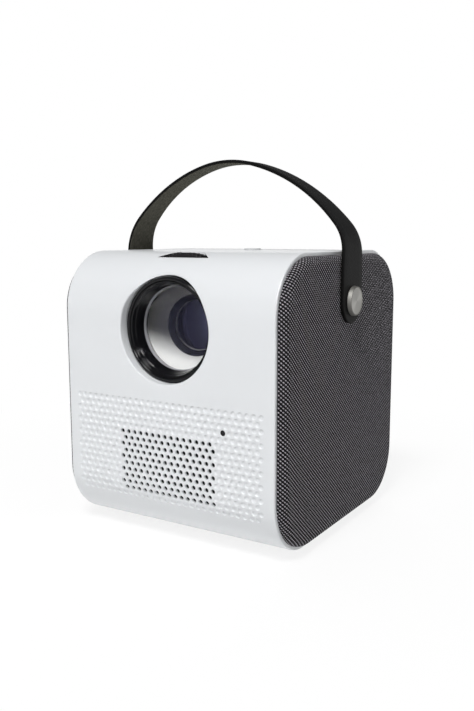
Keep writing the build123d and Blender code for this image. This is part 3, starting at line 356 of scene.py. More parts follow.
def eased(points, cut, steps=4):
    """Profile with each inner corner eased by a quadratic curve that starts and ends at a distance
    cut from it, or at the distance that the corner's third number gives."""
    points = [tuple(point) if len(point) == 3 else (*point, cut) for point in points]
    path = np.array(points)[:, :2]
    reach = np.array(points)[1:-1, 2:3]
    corner = path[1:-1]
    to_before, to_after = path[:-2] - corner, path[2:] - corner
    near = np.linalg.norm(to_before, axis=1, keepdims=True)
    far = np.linalg.norm(to_after, axis=1, keepdims=True)
    start = corner + to_before / near * np.minimum(reach, near * 0.49)
    end = corner + to_after / far * np.minimum(reach, far * 0.49)
    t = np.linspace(0.0, 1.0, steps + 1)[None, :, None]
    start, corner, end = start[:, None], corner[:, None], end[:, None]
    curve = (1 - t) ** 2 * start + 2 * t * (1 - t) * corner + t ** 2 * end
    return np.concatenate([path[:1], curve.reshape(-1, 2), path[-1:]])


def turned(profile, centre, axis, count):
    """Rings of a turned shape: each profile point is a radius and a place along the axis, carried
    round the axis."""
    profile = np.asarray(profile, float)
    turn = once_round(count)[None, :]
    along = np.repeat(profile[:, 1:2], count, 1)
    across = centre[0] + profile[:, 0:1] * np.cos(turn)
    up = centre[1] + profile[:, 0:1] * np.sin(turn)
    order = {"X": (along, across, up), "Y": (across, along, up), "Z": (across, up, along)}
    return np.stack(order[axis], -1)


class Outline:
    """Rounded outline of the sleeve, unrolled: s runs from a seam under the base to the front, up,
    over and down."""

    SEAM = 17.0

    def __init__(self, sizes):
        self.radius = mm(sizes.corner_radius)
        self.half_y = mm(sizes.shell_depth) / 2 - self.radius
        self.low = mm(sizes.foot_height) + self.radius
        self.high = mm(sizes.foot_height) + mm(sizes.shell_height) - self.radius
        quarter, rise, y = self.radius * math.pi / 2, self.high - self.low, self.half_y
        runs = [self.SEAM + y, quarter, rise, quarter, 2 * y, quarter, rise, quarter, y - self.SEAM]
        self.knots = np.concatenate([[0.0], np.cumsum(runs)])
        self.centre_y = np.array([self.SEAM, -y, -y, -y, -y, y, y, y, y, self.SEAM])
        self.centre_z = np.array([self.low] * 3 + [self.high] * 4 + [self.low] * 3)
        self.angle = np.radians([-90, -90, -180, -180, -270, -270, -360, -360, -450, -450])
        steps = [2.2 if index % 2 else 7.0 for index in range(9)]
        spans = [np.linspace(a, b, int(np.ceil((b - a) / step)), endpoint=False)
                 for a, b, step in zip(self.knots[:-1], self.knots[1:], steps)]
        self.stations = np.concatenate([*spans, self.knots[-1:]])

    def normal(self, s):
        """Outward direction in Y and Z at s."""
        turn = np.interp(s, self.knots, self.angle)
        return np.stack([np.cos(turn), np.sin(turn)], -1)

    def lay(self, x, s, depth):
        """Point at x and s, at a depth under the outer face: the corner centre plus the shortened
        radius."""
        x, s = np.broadcast_arrays(np.asarray(x, float), np.asarray(s, float))
        normal = self.normal(s)
        reach = self.radius - np.broadcast_to(depth, s.shape)
        return np.stack([x, np.interp(s, self.knots, self.centre_y) + reach * normal[..., 0],
                         np.interp(s, self.knots, self.centre_z) + reach * normal[..., 1]], -1)

    def front(self, z, depth=0.0):
        """s of the front face at a height, with the corner arcs' angle taken from the height above
        their centre."""
        radius = self.radius - depth
        above = np.arcsin(np.clip((z - self.high) / radius, 0, 1)) * self.radius
        below = np.arcsin(np.clip((self.low - z) / radius, 0, 1)) * self.radius
        return self.knots[2] + np.clip(z, self.low, self.high) - self.low + above - below

    def front_y(self, z, depth=0.0):
        """Y of the front face at a height, at a depth under it."""
        return self.lay(np.zeros_like(z), self.front(z, depth), depth)[..., 1]

    def top(self, y):
        """s of the top face at a depth position y."""
        return self.knots[4] + self.half_y + y

    def back(self, z):
        """s of the back face at a height."""
        return self.knots[6] + self.high - z

    def edge(self, half_width):
        """Loop round the unrolled sleeve between its two ends, anticlockwise."""
        across = np.linspace(-half_width, half_width, 19)
        s, end = self.stations, self.knots[-1]
        low = np.stack([across[:-1], np.zeros_like(across[:-1])], -1)
        right = np.stack([np.full(len(s) - 1, half_width), s[:-1]], -1)
        high = np.stack([across[:0:-1], np.full_like(across[1:], end)], -1)
        left = np.stack([np.full(len(s) - 1, -half_width), s[:0:-1]], -1)
        return np.concatenate([low, right, high, left])

    def infill(self, half_width):
        """Points that keep the corner arcs round, on a finer grid than the flat faces."""
        def net(first, margin, step):
            """Grids over every other stretch of the outline."""
            spans = zip(self.knots[first:-1:2], self.knots[first + 1::2])
            return [grid((-half_width, half_width), (a + margin, b), step) for a, b in spans]

        return np.concatenate(net(1, 0.9, 2.6) + net(0, 3.0, 7.0))


def repeat_cut(skin, centres, rows, count, lay):
    """Round cuts at many centres, each a stack of circles of a radius at a depth under the face."""
    rows = np.asarray(rows, float)
    turn = once_round(count)
    u = centres[:, 0, None, None] + rows[None, :, 0, None] * np.cos(turn)
    v = centres[:, 1, None, None] + rows[None, :, 0, None] * np.sin(turn)
    points = lay(u, v, np.broadcast_to(rows[None, :, 1, None], u.shape))
    first = np.arange(len(centres)) * len(rows) * count
    faces = quads(len(rows), count)[None] + first[:, None, None]
    skin.block(points, faces.reshape(-1, 4))


def dimple_places(sizes, outline):
    """Centres in x and s of the closed dimples, the open speaker holes and the infra-red eye, on a
    three-way grid."""
    pitch = mm(sizes.dimple_pitch)
    columns = np.arange(-HALF_COLUMNS, HALF_COLUMNS)
    row, step = np.meshgrid(np.arange(sizes.dimple_rows), columns, indexing="ij")
    column = step + np.where(row % 2, 0.0, 0.5)
    height = mm(sizes.top_row) - row * pitch * math.sqrt(3) / 2
    place = np.stack([column * pitch, outline.front(height)], -1)
    eye = (row == EYE_ROW) & (column == EYE_COLUMN)
    real = ~((row % 2 == 1) & (step == -HALF_COLUMNS)) & ~eye
    opened = (row >= OPEN_ROWS[0]) & (row <= OPEN_ROWS[1])
    opened &= (column > OPEN_COLUMNS[0]) & (column < OPEN_COLUMNS[1])
    return place[real & ~opened], place[real & opened], place[eye]


def wheel_slot(outline, centre_z, radius, front, rear, depth):
    """Loop in x and s where a disc across the body, between two depths in y, cuts the upper front
    corner: the half width at a height is the root of the disc's radius squared less the height
    above its centre squared."""
    y = np.linspace(front, rear, 13)
    bend = outline.radius - depth
    height = outline.high + np.sqrt(bend ** 2 - (y + outline.half_y) ** 2)
    half = np.sqrt(radius ** 2 - (height - centre_z) ** 2)
    s = outline.knots[4] + outline.radius * np.arcsin((y + outline.half_y) / bend)
    across = np.linspace(-1.0, 1.0, 13)[:-1]
    low = np.stack([across * half[0], np.full_like(across, s[0])], -1)
    high = np.stack([-across * half[-1], np.full_like(across, s[-1])], -1)
    right, left = np.stack([half, s], -1)[:-1], np.stack([-half, s], -1)[:0:-1]
    return np.concatenate([low, right, high, left])


def shell_skin(sizes):
    """White sleeve: outer and inner faces are flat nets in x and s bent round the outline, joined
    by the walls of every cut and by the rounded rims at both ends."""
    outline, skin, outer, inner = Outline(sizes), Skin(), [], []
    wall, end = mm(sizes.wall), mm(sizes.shell_width) / 2
    middle = mm(sizes.foot_height + sizes.shell_height / 2)
    lens_z, opening = mm(sizes.lens_height), mm(sizes.lens_opening)
    wheel = mm(sizes.wheel_radius) + mm(sizes.wheel_gap)

    def through(radius):
        """Rows of a round hole with an eased mouth."""
        return [(radius + 0.3, 0.0), (radius + 0.1, 0.05), (radius, 0.25), (radius, wall)]

    dimples, holes, eye = dimple_places(sizes, outline)
    bowl = [(1.56, 0.0), (1.49, 0.008), (1.27, 0.38), (0.94, 0.5), (0.0, 0.55)]
    round_cuts = [(dimples, bowl, 12), (holes, through(mm(sizes.hole_radius)), 14),
                  (eye, through(EYE_HOLE), 20)]
    for centres, rows, count in round_cuts:
        repeat_cut(skin, centres, rows, count, outline.lay)
        outer += [circle(*place, rows[0][0], count) for place in centres]
        if rows[-1][1] == wall:
            inner += [circle(*place, rows[-1][0], count) for place in centres]
    # Other cuts: the loop at an offset outwards and a depth, and rows of both
    cuts = [
        (lambda off, depth: wheel_slot(outline, lens_z, wheel + off, SLOT_FRONT - off,
                                       SLOT_REAR + off, depth),
         [(0.4, 0.0), (0.12, 0.05), (0.0, 0.3), (0.0, wall)]),
        (lambda off, depth: circle(0.0, outline.top(KEY_Y), KEY_HOLE + off, 48),
         [(0.45, 0.0), (0.13, 0.06), (0.0, 0.3), (0.0, wall)]),
        (lambda off, depth: grown_box(0.0, outline.back(middle), mm(sizes.rear_width),
                                      mm(sizes.rear_height), PANEL_CORNER, 8, PANEL_GAP + off),
         [(0.35, 0.0), (0.1, 0.05), (0.0, 0.25), (0.0, PANEL_THICK), (-PANEL_LEDGE, PANEL_THICK),
          (-PANEL_LEDGE, wall)]),
        (lambda off, depth: circle(0.0, outline.SEAM, TRIPOD_HOLE + off, 32),
         [(0.3, 0.0), (0.0, 0.2), (0.0, wall)]),
    ]
    for loop, rows in cuts:
        skin.rings([outline.lay(*loop(off, depth).T, depth) for off, depth in rows])
        outer.append(loop(*rows[0]))
        inner.append(loop(*rows[-1]))
    turn = once_round(144)
    across, above = np.cos(turn), np.sin(turn)
    collar = opening + COLLAR_WIDTH
    lip = [(opening + 0.7, 0.0), (opening + 0.35, 0.07), (opening + 0.1, 0.3), (opening, 0.7)]
    back = {r: outline.front_y(lens_z + r * above, wall) for r in (opening, collar)}
    mouth = [(r, outline.front_y(lens_z + r * above) + sink) for r, sink in lip]
    mouth += [(r, np.maximum(COLLAR_BACK, back[r])) for r in (opening, collar)]
    mouth.append((collar, back[collar]))
    skin.rings([np.stack([r * across, y, lens_z + r * above], -1) for r, y in mouth])
    outer.append(np.stack([lip[0][0] * across, outline.front(lens_z + lip[0][0] * above)], -1))
    inner.append(np.stack([collar * across, outline.front(lens_z + collar * above, wall)], -1))
    ease = np.linspace(0.0, math.pi / 2, 5)
    for side, _ in SIDES:
        rim_x = np.append(end - END_ROUND + END_ROUND * np.sin(ease), end) * side
        rim_depth = np.append(END_ROUND - END_ROUND * np.cos(ease), wall)
        rim = zip(rim_x, rim_depth)
        skin.rings([outline.lay(x, outline.stations, depth) for x, depth in rim], wrap=False)
    for half_width, loops, depth in ((end - END_ROUND, outer, 0.0), (end, inner, wall)):
        flat, triangles = fill(outline.edge(half_width), loops, outline.infill(half_width))
        skin.block(outline.lay(flat[:, 0], flat[:, 1], depth), triangles)
    return skin


def pierced_slab(edge, edge_rows, cuts, infill, thickness, lay):
    """Plate between two flat nets: its edge and every cut are loops carried through rows of offset
    and depth, and lay bends the plate into place."""
    skin = Skin()

    def marks(points, depth):
        """Place on the flat plate and depth of each point."""
        return np.column_stack([points, np.full(len(points), depth)])

    for loop, rows in [(edge, edge_rows), *cuts]:
        flat = np.stack([marks(loop(offset), depth) for offset, depth in rows])
        skin.rings(lay(*np.moveaxis(flat, -1, 0)), flat)
    for row, depth in ((0, 0.0), (-1, thickness)):
        holes = [loop(rows[row][0]) for loop, rows in cuts]
        points, triangles = fill(edge(edge_rows[row][0]), holes, infill)
        flat = marks(points, depth)
        skin.block(lay(*flat.T), triangles, flat)
    return skin


class StrapPath:
    """Centre line of the strap's outer face: a crown arc, two haunch arcs, two shoulder arcs and
    upright legs, each tangent to the next. t is the length along it from the crown, negative to the
    left."""

    STEPS = 181

    def __init__(self, sizes):
        reach = mm(sizes.strap_reach)
        spring, rise = mm(sizes.strap_spring), mm(sizes.strap_rise)
        crown, shift, stud = mm(sizes.crown_radius), mm(sizes.crown_shift), mm(sizes.stud_height)
        low, mid = sizes.crown_turn, sizes.haunch_turn
        side = np.array([-1.0, 1.0])
        span = reach - side * shift - crown * math.sin(low)
        drop = rise - spring - crown * (1 - math.cos(low))
        system = np.array([[math.sin(mid) - math.sin(low), 1 - math.sin(mid)],
                           [math.cos(low) - math.cos(mid), math.cos(mid)]])
        haunch, shoulder = np.linalg.solve(system, [span, [drop, drop]])
        same, crown_z = np.ones(2), stud + rise - crown
        self.radius = np.stack([crown * same, haunch, shoulder, shoulder], -1)
        legs, spring_z = reach - shoulder, (stud + spring) * same
        haunch_x = side * shift + (crown - haunch) * math.sin(low)
        haunch_z = crown_z + (crown - haunch) * math.cos(low)
        self.centre_x = np.stack([side * shift, haunch_x, legs, legs], -1)
        self.centre_z = np.stack([crown_z * same, haunch_z, spring_z, spring_z], -1)
        runs = [0 * same, crown * low * same, haunch * (mid - low),
                shoulder * (math.pi / 2 - mid), spring * same]
        self.knots = np.cumsum(np.stack(runs, -1), -1)
        self.angle = np.array([math.pi / 2, math.pi / 2 - low, math.pi / 2 - mid, 0.0])
        self.ends = (-self.knots[0, -1], self.knots[1, -1])
        self.narrow_z, self.top_z = stud + mm(sizes.strap_narrows), stud + rise
        self.narrowing = 1 - sizes.crown_width / sizes.strap_width

    def lay(self, t, y, depth):
        """Point at length t and width y, at a depth under the outer face: arc centre plus radius,
        less the depth, along the arc's normal, then straight down the leg. The width shrinks by a
        smooth step of the height."""
        side, way = (t >= 0).astype(int), np.abs(t)
        piece = (way[..., None] >= self.knots[side][..., 1:4]).sum(-1)
        past = way - self.knots[side, piece]
        radius = self.radius[side, piece]
        turn = np.where(piece < 3, self.angle[piece] - past / radius, 0.0)
        down = np.where(piece < 3, 0.0, past)
        height = self.centre_z[side, piece] + radius * np.sin(turn) - down
        share = np.clip((height - self.narrow_z) / (self.top_z - self.narrow_z), 0.0, 1.0)
        narrow = 1 - self.narrowing * share ** 2 * (3 - 2 * share)
        x = (2 * side - 1) * (self.centre_x[side, piece] + (radius - depth) * np.cos(turn))
        return np.stack([x, y * narrow, height - depth * np.sin(turn)], -1)

    def edge(self, half_width, offset):
        """Loop of the unrolled strap: two long sides closed by half circles round the studs,
        anticlockwise."""
        along = np.linspace(*self.ends, self.STEPS)
        turn = np.linspace(-math.pi / 2, math.pi / 2, 33)[1:-1]
        w = half_width + offset
        bow = np.stack([w * np.cos(turn), w * np.sin(turn)], -1)
        low = np.stack([along, np.full_like(along, -w)], -1)
        high = np.stack([along[::-1], np.full_like(along, w)], -1)
        return np.concatenate([low, bow + (self.ends[1], 0.0), high, -bow + (self.ends[0], 0.0)])


def math_method(operation, swapped=False):
    """A method that adds a Math node of this value and the other one, or of the other one and this
    value."""
    def method(self, *other):
        values = (*other, self) if swapped else (self, *other)
        return self.graph.node("ShaderNodeMath", dict(enumerate(values)), operation=operation)

    return method


class Value:
    """A shader value: arithmetic on it adds Math nodes."""

    __add__, __radd__ = math_method("ADD"), math_method("ADD", True)
    __sub__, __rsub__ = math_method("SUBTRACT"), math_method("SUBTRACT", True)
    __mul__, __rmul__ = math_method("MULTIPLY"), math_method("MULTIPLY", True)
    __gt__, __lt__ = math_method("GREATER_THAN"), math_method("LESS_THAN")
    __pow__, __abs__ = math_method("POWER"), math_method("ABSOLUTE")
    sine, arctan2 = math_method("SINE"), math_method("ARCTAN2")
    at_least, at_most = math_method("MAXIMUM"), math_method("MINIMUM")

    def __init__(self, graph, socket):
        self.graph, self.socket = graph, socket

    def rise(self, low, high):
        """Smooth step from 0 at low to 1 at high."""
        limits = {"Value": self, "From Min": low, "From Max": high}
        return self.graph.node("ShaderNodeMapRange", limits, interpolation_type="SMOOTHSTEP")

    def axes(self):
        """The three numbers of a vector."""
        split = self.graph.node("ShaderNodeSeparateXYZ", {0: self}).socket.node
        return [Value(self.graph, output) for output in split.outputs]


class Graph:
    """A node tree that shader values are added to."""

    def __init__(self, tree):
        self.tree = tree

    def node(self, kind, inputs=(), output=0, **settings):
        """Any node: its settings first, then the values or links of its sockets."""
        made = self.tree.nodes.new(kind)
        for name, value in settings.items():
            setattr(made, name, value)
        for name, value in dict(inputs).items():
            self.feed(made.inputs[name], value)
        return Value(self, made.outputs[output])

    def feed(self, socket, value):
        """Links a shader value to a socket, or sets a plain one."""
        if isinstance(value, Value):
            self.tree.links.new(value.socket, socket)
        else:
            socket.default_value = value

    def ray(self, kind):
        """Whether the ray is of a kind, 1 or 0, or how often it has bounced."""
        return self.node("ShaderNodeLightPath", output=kind)


class Paint(Graph):
    """A finish: one node material round a Principled shader."""

    def __init__(self, name, values):
        self.material = bpy.data.materials.new(name)
        self.material.use_nodes = True
        super().__init__(self.material.node_tree)
        self.shader = self.tree.nodes["Principled BSDF"]
        self.at = self.node("ShaderNodeTexCoord", output="Object")
        self.set(values)

    def set(self, values):
        """Feeds the shader's own sockets."""
        for name, value in values.items():
            self.feed(self.shader.inputs[name], value)
        return self

    def lay(self):
        """Place along and across a piece of cloth or leather, in metres."""
        return self.node("ShaderNodeUVMap", uv_map=LAY)

    def noise(self, scale, detail=2.0, at=None):
        """Cloudy noise from 0 to 1."""
        inputs = {"Vector": at or self.at, "Scale": scale, "Detail": detail}
        return self.node("ShaderNodeTexNoise", inputs)

    def stretched(self, scale, detail, at=None):
        """Cloudy noise with a different scale along each axis."""
        spread = self.node("ShaderNodeVectorMath", {0: at or self.at, 1: scale},
                           operation="MULTIPLY")
        return self.noise(1.0, detail, spread)

    def mix(self, factor, first, second):
        """Colour between two colours."""
        return self.node("ShaderNodeMix", {0: factor, 6: first, 7: second}, 2, data_type="RGBA")

    def vary(self, factor, shade, low, high):
        """Colour between two forms of one shade, each made darker or lighter."""
        return self.mix(factor, rgba(shade, low), rgba(shade, high))

    def bump(self, height, strength, distance):
        """Bumps the surface by a height from 0 to 1 over a distance in metres, and gives the
        finished material."""
        lifted = {"Strength": strength, "Distance": distance, "Height": height}
        return self.set({"Normal": self.node("ShaderNodeBump", lifted)}).material


def rgba(value, shade=1.0):
    """A colour with full alpha, made lighter or darker by a shade."""
    return (*(channel * shade for channel in value), 1.0)


def moulding(name, shade, roughness, grain, depth, coat=0.0, vary=0.06):
    """Moulded plastic: faint cloudy colour, uneven gloss and a fine spark-eroded grain."""
    paint = Paint(name, {"Coat Weight": coat, "Coat Roughness": 0.08})
    cloud, fine = paint.noise(22.0, 3.0), paint.noise(grain, 3.0)
    paint.set({"Base Color": paint.vary(cloud, shade, 1 - vary, 1 + vary),
               "Roughness": roughness * (0.85 + 0.3 * fine)})
    return paint.bump(fine + 0.3 * cloud, 0.5, depth)


def metal(name, shade, roughness, scale):
    """Drawn or machined metal: fine streaks along one axis in colour, gloss and height."""
    paint = Paint(name, {"Metallic": 1.0})
    streak = paint.stretched(scale, 3.0)
    paint.set({"Base Color": paint.vary(streak, shade, 0.82, 1.1),
               "Roughness": roughness * (0.7 + 0.6 * streak)})
    return paint.bump(streak, 0.3, 0.00004)


def shell_white(colours, sizes):
    """Satin white moulding with a thin gloss coat and a very faint ripple, and painted shade: black
    on the walls deep in the speaker holes and the eye, where depth is measured from the front face,
    or from its arc below the height where the lower corner starts."""
    paint = Paint("shell_white", {"Coat Weight": 0.25, "Coat Roughness": 0.08})
    cloud, fine = paint.noise(22.0, 3.0), paint.noise(900.0, 3.0)
    x, y, z = paint.at.axes()
    bend = sizes.corner_radius
    below = (sizes.foot_height + bend - z).at_least(0.0)
    depth = y + (sizes.shell_depth / 2 - bend) + (bend * bend - below * below) ** 0.5
    field = (abs(x) < HOLE_SHADE_HALF) * (y < 0.0) * (z > HOLE_SHADE_FOOT) * (z < HOLE_SHADE_HEAD)
    white = paint.vary(cloud, colours.shell, 0.988, 1.012)
    # Painted shade: the hole walls turn black past about a millimetre under the front face
    deep = depth.rise(*HOLE_SHADE) * field
    paint.set({"Base Color": paint.mix(deep, white, rgba(colours.black)),
               "Roughness": 0.36 * (0.85 + 0.3 * fine)})
    return paint.bump(fine + 0.3 * cloud, 0.5, 0.000012)


def side_weave(colours, sizes):
    """Two-tone weave: two diagonal waves over the threads, one stronger, give pillows drawn out
    along a twill line that are grey yarn where the sum is high and black yarn elsewhere, with
    heathered fibres along each yarn."""
    paint = Paint("side_weave", {"Sheen Weight": 0.03, "Sheen Roughness": 0.5,
                                 "Specular IOR Level": 0.12})
    lay = paint.lay()
    drift = (paint.noise(160.0, 2.0, lay) - 0.5) * 0.9
    u, v, _ = lay.axes()
    turns = math.pi / sizes.thread_pitch
    wider, twill = 1.13, 0.68
    across, along = u * (turns / wider) + drift, v * turns + drift
    cell = (1 - twill) * (across - along).sine() + twill * (across + along).sine()
    over = cell > 0.0
    pillow = abs(cell) ** 0.5
    fibre_up = paint.stretched((5200.0, 700.0, 1.0), 3.0, lay)
    fibre_side = paint.stretched((700.0, 5200.0, 1.0), 3.0, lay)
    fibre = fibre_up * over + fibre_side * (1 - over)
    heather = paint.noise(330.0, 2.0, lay)
    light = paint.vary(fibre.rise(0.25, 0.75), colours.yarn_light, 0.55, 1.4)
    dark = paint.vary(fibre.rise(0.3, 0.8), colours.yarn_dark, 0.5, 2.2)
    shaded = paint.mix(cell.rise(0.40, 0.56) * (0.5 + 0.75 * heather).rise(0.0, 1.0), dark, light)
    paint.set({"Base Color": shaded, "Roughness": 0.74 + 0.2 * fibre})
    return paint.bump(pillow + 0.25 * fibre, 0.85, 0.00032)


def strap_leather(colours):
    """Leather strap: a pebbled grain side, a duller olive flesh side and dark painted edges, told
    apart by depth in millimetres."""
    paint = Paint("strap_leather", {"Specular IOR Level": 0.05})
    lay = paint.lay()
    depth = paint.node("ShaderNodeAttribute", output="Fac", attribute_name=DEPTH)
    back = depth.rise(*STRAP_FLESH)
    edge = depth.rise(*STRAP_EDGE) * (1 - back)
    pebble = paint.node("ShaderNodeTexVoronoi", {"Vector": lay, "Scale": 1150.0},
                        feature="SMOOTH_F1")
    pore, cloud = paint.noise(2600.0, 3.0, lay), paint.noise(70.0, 4.0, lay)
    nap = paint.stretched((420.0, 1500.0, 1.0), 4.0, lay)
    face = paint.vary(cloud, colours.strap_face, 0.6, 1.5)
    flesh = paint.vary(nap.rise(0.25, 0.75), colours.strap_back, 0.55, 1.35)
    body = paint.mix(back, face, flesh)
    paint.set({"Base Color": paint.mix(edge, body, rgba(colours.strap_face, 0.5)),
               "Roughness": 0.46 + 0.14 * pore + 0.26 * back - 0.06 * edge})
    grain = (pebble * 0.8 + pore * 0.35) * (1 - back) + (nap + 0.5 * pore) * back
    return paint.bump(grain, 0.55, 0.00016)


def stud_spun(colours, sizes):
    """Spun metal: fine rings round the stud's axis, soft bow-tie glints painted into the colour
    that fan out from its centre, and a wall that is darker and duller than the face."""
    paint = Paint("stud_spun", {"Metallic": 1.0})
    _, y, z = paint.at.axes()
    up = z - sizes.stud_height
    radius = (y * y + up * up) ** 0.5
    turn = up.arctan2(y)
    polar = paint.node("ShaderNodeCombineXYZ", {0: radius * 16000.0, 1: turn * 1.2})
    rings = paint.noise(1.0, 4.0, polar)
    face = radius < sizes.stud_radius - 0.001
    # Painted glints: a bow-tie of lighter colour turning with the angle round the axis
    fan = ((turn * 2.0 + 0.6).sine() * 0.5 + 0.5) ** 3.0
    face_and_painted_glints = paint.vary(rings * 0.6 + fan * 0.4, colours.stud, 0.3, 0.66)
    wall = paint.vary(rings, colours.stud, 0.26, 0.42)
    paint.set({"Base Color": paint.mix(face, wall, face_and_painted_glints),
               "Roughness": 0.5 + 0.2 * rings - 0.26 * face})
    return paint.bump(rings, 0.35, 0.00002)


def off_axis(paint, sizes):
    """Distance from the lens axis: the root of x squared plus the height above the axis squared."""
    x, _, z = paint.at.axes()
    up = z - sizes.lens_height
    return (x * x + up * up) ** 0.5


def lens_black(name, colours, sizes, roughness):
    """Black moulding of the lens, the wheel and the infra-red window: dark, with a fine grain, and
    a grey ring painted on a lip close to the lens axis as a painted highlight for the light on the
    glass's edge."""
    paint = Paint(name, {"Specular IOR Level": 0.24})
    fine, cloud = paint.noise(1800.0, 2.0), paint.noise(35.0, 2.0)
    # Painted highlight: grey on the lip close to the lens axis
    lip = 1 - off_axis(paint, sizes).rise(*LENS_PAINTED_LIP)
    black = paint.vary(cloud, colours.black, 0.7, 1.5)
    paint.set({"Base Color": paint.mix(lip, black, (0.34, 0.34, 0.36, 1.0)),
               "Roughness": roughness * (0.8 + 0.4 * fine)})
    return paint.bump(fine, roughness, 0.000008)


def lens_glass(name, colours, index):
    """Clear coated glass: full transmission, with faint cloudy gloss so that its polish isn't
    perfect. A low index stands for the weak reflections of a coated face. Lamps light what is
    behind it, as it casts no shadow, and light that has bounced about inside the lens doesn't come
    back through it."""
    paint = Paint(name, {"Transmission Weight": 1.0, "IOR": index,
                         "Specular Tint": rgba(colours.coating)})
    bounced = paint.ray("Diffuse Depth").rise(0.0, 1.0)
    paint.set({"Base Color": paint.mix(bounced, rgba(colours.glass), SOOT),
               "Roughness": 0.012 * paint.noise(60.0, 2.0),
               "Alpha": 1 - paint.ray("Is Shadow Ray")})
    return paint.material


def lens_groove_glass(colours, sizes):
    """Fresnel sheet: clear plastic with fine round grooves about the lens axis."""
    paint = Paint("fresnel_clear_sheet", {"Base Color": rgba(colours.glass, 0.95),
                                          "Transmission Weight": 1.0, "IOR": 1.49})
    groove = (off_axis(paint, sizes) * 9000.0).sine() * 0.5 + 0.5
    return paint.set({"Roughness": 0.05 + 0.1 * groove}).bump(groove, 0.6, 0.00005)


def baffle_finish(colours, sizes):
    """Pale satin cone with fine turned rings about the lens axis, painted matt black inside its
    waist as shade, but for a lip painted half pale as a light line at the stop's edge."""
    paint = Paint("baffle_satin", {"Specular IOR Level": 0.12})
    radius = off_axis(paint, sizes)
    rings = paint.noise(1.0, 3.0, paint.node("ShaderNodeCombineXYZ", {0: radius * 5200.0}))
    # Painted shade inside the waist, where the satin mask is 0, and a painted light line on the lip
    # at the stop
    satin = radius.rise(*BAFFLE_SHADE_EDGE)
    pale_not_painted_shade = satin.at_least(0.5 * (radius < BAFFLE_PAINTED_LIP))
    paint.set({"Base Color": paint.mix(pale_not_painted_shade, rgba(colours.black), rgba(colours.baffle)),
               "Roughness": 0.75 + satin * (0.12 * rings - 0.46)})
    return paint.bump(rings, 0.25, 0.00002)


def board_finish(name, shade):
    """Circuit board: solder mask with lighter copper runs in blocks and plated dots."""
    paint = Paint(name, {"Coat Weight": 0.3})
    bricks = {"Vector": paint.at, "Scale": 260.0, "Mortar Size": 0.06, "Color1": SOOT,
              "Color2": (0.2, 0.2, 0.2, 1), "Mortar": WHITE}
    runs = paint.node("ShaderNodeTexBrick", bricks, offset=0.37)
    dots = paint.node("ShaderNodeTexVoronoi", {"Vector": paint.at, "Scale": 420.0}) < 0.12
    mask = paint.vary(runs, shade, 1.0, 1.9)
    paint.set({"Base Color": paint.mix(dots, mask, (0.55, 0.5, 0.36, 1.0)),
               "Metallic": dots * 0.8, "Roughness": 0.42 - 0.12 * dots})
    return paint.bump(dots + 0.3 * paint.noise(900.0), 0.4, 0.00004)


def cloth_finish():
    """Open black speaker cloth: a fine square mesh of threads."""
    paint = Paint("speaker_cloth", {"Sheen Weight": 0.1})
    x, _, z = paint.at.axes()
    mesh = abs((x * 4500.0).sine() * (z * 4500.0).sine()) ** 0.5
    paint.set({"Base Color": paint.mix(mesh, (0.001, 0.001, 0.001, 1), (0.004, 0.004, 0.0045, 1)),
               "Roughness": 0.75 + 0.15 * mesh})
    return paint.bump(mesh, 0.7, 0.00015)


def lamp_finish():
    """Light source: pale ceramic with a yellow phosphor grid."""
    paint = Paint("lamp_ceramic", {})
    x, _, z = paint.at.axes()
    dies = abs((x * 1200.0).sine()) * abs((z * 1200.0).sine())
    ceramic, phosphor = (0.75, 0.75, 0.72, 1), (0.85, 0.62, 0.08, 1)
    paint.set({"Base Color": paint.mix(dies.rise(0.35, 0.5), ceramic, phosphor),
               "Roughness": 0.55 - 0.2 * dies})
    return paint.bump(dies, 0.4, 0.0002)


# Mouldings: slot, finish, colour or its setting, roughness, grain per metre, its depth in metres,
# and where they differ from the plain ones the coat and the change of colour
MOULDINGS = [
    ("rear_white", "rear_white_moulding", "rear", 0.5, 2600.0, 0.00007, 0.0, 0.02),
    ("button_grey", "key_grey", "key", 0.4, 1500.0, 0.00002, 0.1, 0.03),
    ("core_black", "core_black_moulding", (0.02, 0.02, 0.021), 0.55, 1500.0, 0.00006),
    ("rubber_black", "foot_rubber", "rubber", 0.8, 1100.0, 0.00008, 0.0, 0.15),
    ("engine_black", "engine_black_moulding", (0.016, 0.016, 0.017), 0.62, 1300.0, 0.00007),
    ("lcd_dark", "panel_dark_glass", (0.012, 0.013, 0.02), 0.1, 700.0, 0.000004, 0.8),
    ("chip_black", "chip_epoxy", (0.02, 0.02, 0.022), 0.5, 2200.0, 0.00005),
    ("socket_black", "socket_black_moulding", (0.014, 0.014, 0.015), 0.38, 1600.0, 0.00004),
    ("flex_amber", "flex_amber_film", (0.42, 0.17, 0.03), 0.3, 300.0, 0.00003, 0.3, 0.2),
    ("speaker_black", "speaker_basket", (0.018, 0.018, 0.018), 0.5, 900.0, 0.00006),
    ("cone_paper", "speaker_cone_paper", (0.03, 0.03, 0.03), 0.85, 500.0, 0.00015, 0.0, 0.25),
    ("magnet_grey", "magnet_ferrite", (0.11, 0.11, 0.115), 0.55, 600.0, 0.0001, 0.0, 0.2),
]

# Metals: slot, finish, colour, roughness and the scale of the streaks along each axis
METALS = [
    ("screw_steel", "screw_zinc", (0.55, 0.56, 0.58), 0.3, (700.0, 700.0, 700.0)),
    ("insert_brass", "insert_brass_turned", (0.72, 0.52, 0.22), 0.3, (300.0, 300.0, 2400.0)),
    ("heatsink_aluminium", "heatsink_extruded", (0.72, 0.73, 0.75), 0.38, (900.0, 60.0, 900.0)),
    ("socket_metal", "socket_shell", (0.66, 0.66, 0.67), 0.26, (500.0, 60.0, 500.0)),
]


